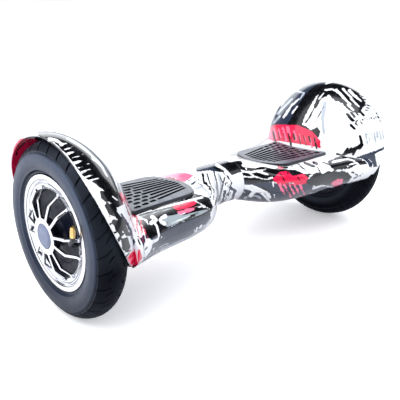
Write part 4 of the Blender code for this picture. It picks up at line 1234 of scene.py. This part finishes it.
def left_body_marks():
    zone = "left_body"
    blots(zone, "slate",
          (-150, 14,  -120, 79,  -100, 59,  -80, 63,  -41.5, 49,  -7, 32,  21, 19,  21, 40.5,
           4.5, 63.5,  -18.5, 79,  -80, 104,  -100, 134,  -125, 139,  -122, 104),
          (-140, -41,  -100, -44,  -80, -43,  -100, -39,  -135, -35))
    blots(zone, "black",
          (-152, 4,  -120, 14,  -80, 8,  -50, -1,  -10, -11,  19, -3,  26, 17,  19, 30,
           -20, 42,  -55, 54,  -75, 68,  -100, 79,  -120, 54))
    # Glint: painted reflection, a grey band and a lens-shaped reflection on the glossy black.
    blots(zone, "glint",
          (-81.333, 42.788,  -71.524, 35.287,  -55.945, 32.402,  -35.75, 27.786,
           -39.789, 35.287,  -55.945, 42.211,  -72.678, 50.866,  -79.025, 52.02),
          (-70.37, 53.751,  -58.83, 42.211,  -35.75, 33.556,  -9.785, 26.055,
           13.295, 20.285,  19.065, 21.439,  4.64, 30.094,  -18.44, 39.326,
           -47.29, 49.712,  -64.6, 56.059))
    blots(zone, "crimson",
          (-55.945, 15.092,  -46.713, 9.322,  -13.824, -.487,  -6.9, 9.322,
           -19.594, 16.246,  -44.405, 23.17,  -50.752, 19.708))
    blots(zone, "pink",
          (-46.713, 24.901,  -23.056, 18.554,  -9.208, 15.669,  -12.67, 23.17,
           -27.095, 27.209,  -40.943, 31.248),
          (-82, -44,  -60, -51,  -35, -53,  -12, -48,  -24, -38,  -35, -35,  -55, -43))
    blots(zone, "white",
          (-111.914, 88.371,  -102.682, 78.562,  -95.758, 81.447,  -96.335, 101.065,
           -104.413, 112.605,  -111.337, 115.49))
    # Glint: painted reflection lines on the glossy black.
    strokes(zone, "glint",
            (3, 1.5, -123.454, 37.595,  -104.99, 31.248,  -79.025, 24.324,  -53.06, 17.977),
            (2.5, 2, -4.015, 7.591,  10.41, 13.361),
            (4, 2.5, -84.795, 101.065,  -53.06, 89.525,  -18.44, 75.1,  10.41, 54.905,
             21.95, 37.595))
    strokes(zone, "crimson", (3.5, 2, -68, -44,  -47, -38,  -29, -35))
    strokes(zone, "white",
            # The first white line, along the ledge under the foot mat, is a painted highlight.
            (4.5, 4, -126.339, 31.248,  -107.875, 24.901,  -81.91, 18.554,
             -50.175, 10.476,  -18.44, 2.398,  4.64, -3.372),
            (3, 2, -44.405, 31.248,  -29.98, 27.786),
            (2.5, 2, -10.939, 2.975,  4.64, 11.63,  19.642, 20.862),
            (3, 2, -5.746, 16.246,  4.64, 15.092,  19.065, 18.554),
            (2, 1.5, -58.83, 48.558,  -35.75, 39.903,  -12.67, 31.825),
            (4.5, 3, -96.335, 43.942,  -87.68, 50.866,  -83.641, 63.56,  -81.91, 73.946,
             -70.37, 78.562),
            (4, 3, -120.569, 37.595,  -107.875, 42.211,  -102.682, 52.02),
            (6, 4, -84.795, 80.87,  -96.335, 86.64,  -104.413, 103.95,  -110.76, 116.644),
            (3.5, 2, -93.45, 101.065,  -81.333, 93.564),
            (2, 1.5, -93.45, 108.566,  -64.6, 97.026,  -24.21, 82.024,  4.64, 63.56))
    for turn, size in ((35, 1.0), (150, 1.0), (215, .9), (325, 1.1)):      # torn star
        c, s = math.cos(math.radians(turn)), math.sin(math.radians(turn)) * .80
        strokes(zone, "white", (4, 8.5, -84 + 3.5 * c, 42 + 3.5 * s,
                                -84 + 15.5 * c * size, 42 + 15 * s * size))
    squiggle(zone, "white", (-11.516, 63.56), (6.948, 52.597), waves=2, swing=3.5, width=3)
    strokes(zone, "fine",
            (2, 2, -84, 32,  -84, 52),
            (2, 1.5, -49.598, 16.823,  -29.98, 11.053,  -12.67, 6.437),
            (1.5, 1, -35.75, 20.862,  -24.21, 25.478),
            (2, 1.5, -66.908, 52.597,  -53.06, 43.365,  -24.21, 33.556,  4.64, 24.324),
            (2.5, 2, -76.14, 62.406,  -55.945, 52.02,  -18.44, 38.749,  7.525, 28.363,
             21.95, 23.17),
            (5, 3.5, -108.452, 49.135,  -100.374, 63.56,  -99.22, 75.1),
            (3.5, 2.5, -109.606, 101.065,  -103.259, 92.41),
            (4.5, 2.5, -104.413, 112.605,  -93.45, 105.681),
            (2.5, 2, -62, -43,  -50, -41))


def neck_marks():
    """Marks across the neck collar and both bodies beside it."""
    zone = "neck"
    blots(zone, "slate", (-10, -62,  0, -70,  25, -74,  50, -77,  65, -72,  62.5, -53,
                          40, -54,  15, -57,  -5, -54))
    blots(zone, "black",
          (26, -64,  45, -71,  62.5, -73,  62.5, -54,  40, -54),
          (51, -73,  82.5, -78,  89, -57,  62.5, -47,  52.5, -59))
    strokes(zone, "slate",
            (3.5, 2.5, -18, -28,  -2, -40,  12, -33,  19, -18),
            (5, 3.5, 50, -16,  46, 4,  38, 14),
            (6, 4, 60, -23,  70, -16,  65, -1,  52.5, 12))
    strokes(zone, "pale",
            (3.5, 2.5, -12, -19,  3, -25,  17, -13,  21, 4),
            (3, 2, -7, -6,  11, -4,  23, 14),
            (5, 3, 37, -50,  43, -26,  40, 4))
    strokes(zone, "white",
            (6, 5, 33, -68,  48, -60,  59, -48,  68, -40),
            (3.5, 2.5, 23, -43,  25, -31,  30, -21))
    strokes(zone, "fine",
            (2, 2, 31, -63,  45, -55,  55, -43,  62, -35),
            (2, 1.5, -24, -35,  -7, -45,  6, -52),
            (4.5, 2.5, 6, -48,  8, -33,  19, -24,  23, -14,  21, -1),
            (2.5, 2, 14, -51,  19, -33,  28, -16,  26, 8),
            (2, 1.5, -5, -31,  6, -27),
            (2, 1.5, 0, -12,  17, 0,  24, 20),
            (3.5, 2.5, 28, -54,  34, -31,  35, -6,  30, 12),
            (2.5, 2, 49, -43,  43, -16,  35, 9),
            (3, 2, 40, -46,  46, -31),
            (3, 2, 56, -46,  63, -33,  59, -16,  50, -1),
            (2, 1.5, 42, 10,  53, -1,  61, -13))
    hook(zone, "fine", (54, -29), radius=3.5, first=0, last=300, width=2.5)


def right_body_marks():
    zone = "right_body"
    blots(zone, "slate",
          (60, -35,  100, -36,  145, -33,  150, 10,  105, 8,  65, 2,  40, 12,  48, -16),
          (147, -32,  220, -32,  235, -16,  215, 4,  165, 12,  150, 4),
          (225, -23,  285, -35,  310, -42,  350, -46,  340, -16,  290, -8,  230, -1))
    blots(zone, "black",
          (80, -64,  120, -68,  150, -59,  150, -35,  100, -31,  62, -33,  65, -46),
          (143, -62,  215, -64,  225, -31,  190, -31,  148, -33),
          (211, -49,  250, -55,  295, -54,  310, -46,  286, -31,  245, -25,  220, -26),
          (255, -76,  295, -91,  325, -91,  325, -76,  300, -61,  265, -58))
    blots(zone, "crimson", (145, -40,  159, -54,  175, -56,  185, -46,  207, -51,
                            218, -41,  208, -33,  170, -32,  148, -34))
    blots(zone, "pink", (261, -31,  276, -40,  287, -40,  283, -29,  270, -23))
    blots(zone, "white",
          (165, -67,  190, -70,  225, -66,  250, -68,  245, -56,  210, -50,  190, -58,
           170, -60),
          (293, -56,  310, -64,  332, -58,  337, -44,  320, -31,  302, -23,  294, -31,
           304, -44))
    strokes(zone, "pale", (4.5, 3, 220, -10,  250, -16,  280, -16,  315, -26))
    hook(zone, "pale", (77.5, -4), radius=15, first=170, last=320, width=4, squeeze=.8)
    hook(zone, "pale", (105, 4), radius=18, first=210, last=330, width=4, squeeze=.6)
    strokes(zone, "crimson",
            (4, 3, 156, -31,  180, -29,  213, -31),
            (3.5, 2.5, 269, -33,  281, -37))
    hook(zone, "crimson", (161.5, -65), radius=5, first=0, last=360, width=4.5, squeeze=.7)
    slashes(zone, "pink", middle=(.25, .5), end=(.5, 1), taper=.5, rows=(
        (159, -29, 22, 5.5), (169, -29, 29, 4.5), (179, -29, 19, 6), (189, -29, 27, 4.5),
        (199, -29, 21, 5.5)))
    strokes(zone, "white",
            (6.5, 5, 87, -67,  105, -65,  131, -68,  150, -62),
            (5, 3, 81, -56,  100, -53,  124, -58),
            (4.5, 3, 68, -40,  88, -45,  106, -43),
            (4, 2.5, 92, -61,  106, -46,  126, -40),
            (4.5, 2.5, 115, -56,  137, -48),
            (4.5, 3.5, 66, -23,  84, -27,  105, -26,  131, -16),
            (5.5, 3.5, 105, -26,  125, -10,  140, 5),
            (4.5, 3, 50, -16,  61, -6,  52, 8),
            (5.5, 3.5, 215, -64,  226, -51,  218, -42),
            (6, 4, 231, -68,  255, -60,  245, -51),
            (4, 2.5, 226, -21,  245, -27,  271, -23),
            (4.5, 3, 295, -66,  310, -73,  325, -68),
            (5, 3, 265, -74,  295, -80,  310, -76))
    hook(zone, "white", (90, -6), radius=23, first=190, last=330, width=6, squeeze=.7)
    hook(zone, "white", (120, -1), radius=20, first=200, last=350, width=6.5, squeeze=.8)
    bars(zone, "white", (125, -68), (145, -43), 4, along=(-11, 4), width=3, vary=.35)
    strokes(zone, "fine",
            (4.5, 4, 65, -33,  100, -35,  146, -37),
            (3, 2, 80, -16,  95, -6,  101, 8),
            (3, 2.5, 121, -23,  136, -16,  147, -1),
            (3, 2, 160, -51,  170, -35),
            (3.5, 2, 175, -54,  180, -40),
            (2.5, 2, 190, -51,  201, -36),
            (2, 1.5, 175, -16,  189, -1),
            (3, 2, 200, -66,  213, -56),
            (3, 2, 235, -64,  240, -54),
            (3.5, 2.5, 303, -54,  320, -46),
            (3, 2, 308, -41,  326, -51),
            (8, 7, 320, -72,  365, -78))
    bars(zone, "fine", (155, -70), (245, -74), 6, along=(13, 5), width=4, vary=.5)


def right_arch_marks():
    zone = "right_arch"
    blots(zone, "slate",
          (130, -141,  145, -166,  165, -196,  195, -221,  230, -236,  255, -236,
           235, -216,  205, -181,  190, -146),
          (305, -80,  350, -96,  373, -106,  370, -66,  310, -61))
    blots(zone, "black",
          (175, -148,  190, -181,  218, -218,  238, -231,  255, -229,  231, -204,
           213, -171,  203, -146),
          (175, -150,  203, -150,  228, -135,  235, -121,  225, -124,  200, -136),
          (220, -138,  234, -143,  241, -135,  233, -114,  225, -121),
          (245, -226,  265, -233,  296, -231,  315, -216,  331, -191,  320, -171,
           300, -176,  284, -191,  270, -196,  258, -208,  244, -201,  231, -178,
           227, -186))
    blots(zone, "crimson", (136, -141,  150, -149,  195, -148,  225, -135,  241, -116,
                            240, -103,  200, -110,  160, -116,  136, -116))
    blots(zone, "white", (349, -90,  370, -101,  370, -66,  355, -64))
    strokes(zone, "pale",
            (5, 3, 155, -171,  170, -186,  185, -201),
            (4, 3, 193, -216,  208, -212,  200, -200),
            (4.5, 2.5, 148, -153,  160, -166),
            (9, 4, 250, -191,  245, -161,  248, -131))
    bars(zone, "pale", (331, -131), (370, -138), 8, along=(3, 16), width=2.5, vary=.3)
    strokes(zone, "crimson", (7, 5, 220, -116,  239, -104))
    bars(zone, "pink", (139, -138), (175, -143), 5, along=(5, 19), width=4.5, vary=.25)
    bars(zone, "pink", (188, -135), (220, -120), 4, along=(3, 13), width=3, vary=.3)
    strokes(zone, "white",
            (4, 2, 162, -187,  180, -210,  200, -222),
            (5.5, 2.5, 171, -168,  183, -187,  198, -200),
            (3.5, 2, 184, -171,  195, -186),
            (4, 2.5, 167, -163,  175, -178),
            (3.5, 2.5, 250, -218,  265, -220,  275, -212),
            (3, 2, 238, -200,  248, -212))
    slashes(zone, "white", middle=(.5, .55), end=(1, 1), taper=.6, rows=(
        (273, -218, 13, 6), (286, -220, 20, 4.5), (299, -217, 17, 6), (286, -204, 15, 5.5),
        (302, -201, 17, 4.5), (312, -206, 11, 4), (296, -189, 13, 5)))
    strokes(zone, "fine",
            (3.5, 2, 220, -166,  228, -181,  238, -196),
            (3, 2, 211, -153,  223, -168),
            (2, 1.5, 231, -155,  248, -186),
            (6.5, 5, 324, -108,  320, -126),
            (8, 6, 290, -91,  310, -99,  324, -110),
            (6, 3.5, 274, -90,  286, -85))
    for start, stop, count, along, width, vary in (
            ((146, -135), (228, -124), 9, (4, 17), 2.5, .4),
            ((294, -170), (316, -180), 4, (9, 10), 4.5, .3),
            ((310, -158), (360, -166), 12, (2.5, 3.5), 2, .3),
            ((302, -148), (320, -155), 3, (6, 6), 4, .3),
            ((322, -206), (339, -171), 7, (8, 2), 2, .4),
            ((315, -211), (331, -177), 5, (5, -2), 2.5, .4),
            ((340, -196), (360, -156), 6, (6, 3), 2.5, .4),
            ((295, -101), (323, -106), 5, (-7, 11), 3.5, .5)):
        bars(zone, "fine", start, stop, count, along, width, vary)


def vertex_vectors(mesh, key):
    flat = np.empty(len(mesh.vertices) * 3, np.float32)
    mesh.vertices.foreach_get(key, flat)
    return flat.reshape(-1, 3).astype(float)


def lay_print(obj, body_zones, arch_zones=()):
    """Stores each ink's field on the surface points, and how far they face the eye."""
    mesh = obj.data
    places, normals = vertex_vectors(mesh, "co"), vertex_vectors(mesh, "normal")
    to_eye = np.array(EYE) - places
    to_eye /= np.linalg.norm(to_eye, axis=1)[:, None]
    facing = np.clip((np.sum(normals * to_eye, 1) + .01) / .07, 0, 1)
    facing = facing * facing * (3 - 2 * facing)
    # points on the dome or outboard of the wheel wall take the arch's marks
    x = np.abs(places[:, 0])
    radius = np.hypot(places[:, 1], places[:, 2] - AXLE_Z)
    dome = np.array([dome_radius(max(v, DOME_TIP_X)) for v in x])
    on_dome = (x > DOME_TIP_X) & (np.abs(radius - dome) < .0045)
    on_arch = on_dome | (x > WALL_OUT - .001)
    sheet = to_sheet(places)

    def store(name, values):
        attribute = mesh.attributes.new(name, "FLOAT", "POINT")
        attribute.data.foreach_set("value", values.astype(np.float32))

    for ink in INKS:
        field = np.full(len(places), float(NO_INK))
        for zones, where in ((body_zones, ~on_arch), (arch_zones, on_arch)):
            for zone in zones:
                for depth in MARKS[zone, ink]:
                    field[where] = np.maximum(field[where], depth(sheet[where]))
        store("ink_" + ink, FIELD_GAIN * field)
    store("seen", facing)


for lay_out in (left_arch_marks, arch_foot_marks, left_body_marks, neck_marks,
                right_body_marks, right_arch_marks):
    lay_out()

# ---------------------------------------------------------------- the object
for side, word in ((-1, "left"), (1, "right")):
    wheel = word + "_wheel"
    top, tray = shells(side, word)
    for shell, node, slot in ((top, "_top_shell", "printed_shell"),
                              (tray, "_bottom_shell", "printed_shell_low")):
        lay_print(shell, (word + "_body", "neck"), (word + "_arch",))
        piece(shell, word + "_half", slot, FINISH["printed_shell"], word + node)
    piece(foot_mat(side, word), word + "_foot_mat_body", "black_rubber",
          FINISH["mat_rubber"], word + "_foot_mat")
    for build, slot, node in ((wheel_cover, "polished_cover", "_wheel_cover"),
                              (tyre, "tyre_rubber", "_tyre"), (rim, "dark_rim", "_rim"),
                              (hub_cap, "hub_cap_grey", "_hub_cap")):
        piece(build(side, word), wheel, slot, FINISH[slot], word + node)
    stem, cap = valve(side, word)
    piece(stem, wheel, "black_rubber", FINISH["black_rubber"], word + "_valve_stem")
    piece(cap, word + "_valve_cap_body", "brass", FINISH["brass"], word + "_valve_cap")
ring = collar()
lay_print(ring, ("neck",))
piece(ring, "right_half", "printed_shell", FINISH["printed_shell"], "neck_collar")

# Finishes of the remaining CAD pieces: the first finish with a word in the piece's name.
WORDS_OF = {
    "dark_rim": ("motor_cover",), "bush_bronze": ("bush",), "copper_winding": ("stator",),
    "battery_wrap": ("battery",), "cast_aluminium": ("chassis",),
    "steel": ("axle", "clamp", "bolt", "screw", "pivot_tube", "retaining_ring",
              "charge_port", "magnet", "bearing"),
    "circuit_board": ("board",), "black_rubber": ("cable", "tube", "button", "cap"),
}
for name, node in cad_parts.items():
    if node.hide_render:
        continue
    found = next((finish for finish, words in WORDS_OF.items()
                  if any(word in name for word in words)), "cast_aluminium")
    if name == "charge_port_cap":
        found = "black_rubber"
    if not node.material_slots:
        node.data.materials.append(FINISH[found])
    for socket in node.material_slots:
        socket.material = FINISH[found]


# ---------------------------------------------------------------- floor, light and camera
def floor_finish():
    """Pale floor that throws back less light than the eye sees on it."""
    f = Finish("pale_floor")
    ray = f.node("LightPath").outputs
    direct = ray["Is Camera Ray"]
    thrown = f.mix(ray["Is Glossy Ray"], (.50, .51, .54), (.88, .885, .91))
    seen = f.mix(f.patches(scale=3, detail=2, rough=.5), (.93, .935, .95), (.94, .945, .955))
    return f.set(color=f.mix(direct, thrown, seen), level=.25,
                 rough=f.patches(scale=8, detail=2, rough=.5, to=(.62, .7)),
                 glow=(.97, .98, 1.0), glow_power=f.times(direct, .30))


FLOOR_R, FLOOR_STEPS = 60, 64
rim_turns = [math.tau * i / FLOOR_STEPS for i in range(FLOOR_STEPS)]
floor = prism("floor", [(FLOOR_R * math.cos(t), FLOOR_R * math.sin(t)) for t in rim_turns],
              -.02, -.0002)
floor.data.materials.append(floor_finish())

# Softboxes mirrored in glossy surfaces: direction, half width, half height, power.
SOFTBOXES = (((-.35, -.15, 1.0), .42, .26, 2.6), ((-.9, .55, .55), .30, .55, 1.7),
             ((.75, -.75, .75), .22, .30, 1.2), ((.6, .75, .34), .80, .20, 2.3),
             ((.66, -.73, .20), .34, .05, 1.6))


class Sky(Graph):
    """World light: one picture for mirrors, one for matt surfaces, white for the camera."""

    def smooth(self, value, low, high, out_low=0.0, out_high=1.0):
        return self.span(value, low, high, out_low, out_high,
                         interpolation_type="SMOOTHSTEP")

    def along(self, axis):
        """Cosine between the view direction and an axis."""
        n = self.node("VectorMath", operation="DOT_PRODUCT")
        self.put(n.inputs[0], self.look)
        n.inputs[1].default_value = axis
        return n.outputs["Value"]

    def softbox(self, direction, half_width, half_height, edge=.06):
        """Share of a rectangular light seen, its limits set on the plane square to it."""
        ahead_axis = Vector(direction).normalized()
        across_axis = ahead_axis.cross(Vector((0, 0, 1))).normalized()
        over_axis = across_axis.cross(ahead_axis)
        facing, across, over = (self.along(axis)
                                for axis in (ahead_axis, across_axis, over_axis))
        ahead = self.math("MAXIMUM", facing, 1e-3)
        across, over = (self.math("ABSOLUTE", self.math("DIVIDE", value, ahead))
                        for value in (across, over))
        front = self.smooth(facing, .02, .08)
        inside = self.times(self.smooth(across, half_width, half_width + edge, 1, 0),
                            self.smooth(over, half_height, half_height + edge, 1, 0))
        return self.times(inside, front)

    def mirrored(self):
        height = self.split(self.look)[2]
        total = self.smooth(height, -.02, .30, .22, .012)      # faint glow along the horizon
        for direction, half_width, half_height, power in SOFTBOXES:
            share = self.softbox(direction, half_width, half_height)
            total = self.math("ADD", total, self.times(share, power))
        n = self.node("CombineColor")
        for i, tint in enumerate((.97, .985, 1.0)):
            self.put(n.inputs[i], self.times(total, tint))
        return n.outputs[0]

    def matt(self):
        """More light from the left and above."""
        lean = self.along(Vector((-.70, .25, .65)).normalized())
        n = self.node("CombineColor")
        for i, (low, high) in enumerate(((.36, 1.62), (.375, 1.64), (.41, 1.68))):
            self.put(n.inputs[i], self.smooth(lean, -.75, .85, low, high))
        return n.outputs[0]

    def build(self):
        self.look = self.node("TexCoord").outputs["Generated"]
        rays = self.node("LightPath").outputs
        mirrored = self.mirrored()
        light = self.mix(rays["Is Glossy Ray"], self.matt(), mirrored)
        clear = self.node("RGB")
        clear.outputs[0].default_value = (1.0, 1.0, 1.0, 1)
        back = self.node("Background")
        self.put(back.inputs[0], self.mix(rays["Is Camera Ray"], light, clear.outputs[0]))
        self.put(self.node("OutputWorld").inputs[0], back.outputs[0])


world = bpy.data.worlds.new("studio")
bpy.context.scene.world = world
world.use_nodes = True
Sky(world.node_tree).build()


def area(name, place, aim, size, power, tint):
    """Round area light, hidden from mirrors."""
    light = bpy.data.lights.new(name, "AREA")
    light.shape, light.size, light.energy, light.color = "DISK", size, power, tint
    obj = bpy.data.objects.new(name, light)
    bpy.context.scene.collection.objects.link(obj)
    obj.location = place
    obj.rotation_euler = (Vector(aim) - Vector(place)).to_track_quat("-Z", "Y").to_euler()
    obj.visible_glossy = False


area("key", place=(-1.1, -.3, 1.8), aim=(0, 0, .05), size=1.6, power=20, tint=(1.0, .99, .97))
area("fill", place=(1.1, -.9, 1.3), aim=(0, 0, .1), size=1.4, power=8, tint=(.93, .96, 1.0))

camera = bpy.data.objects.new("camera", bpy.data.cameras.new("camera"))
bpy.context.scene.collection.objects.link(camera)
camera.matrix_world = Matrix([[EYE_RIGHT[i], EYE_UP[i], EYE_BACK[i], EYE[i]]
                              for i in range(3)] + [[0, 0, 0, 1]])
camera.data.sensor_width = SENSOR
camera.data.lens = LENS
camera.data.shift_y = SHIFT_Y
camera.data.clip_end = 200
bpy.context.scene.camera = camera
bpy.context.scene.view_settings.view_transform = "Standard"
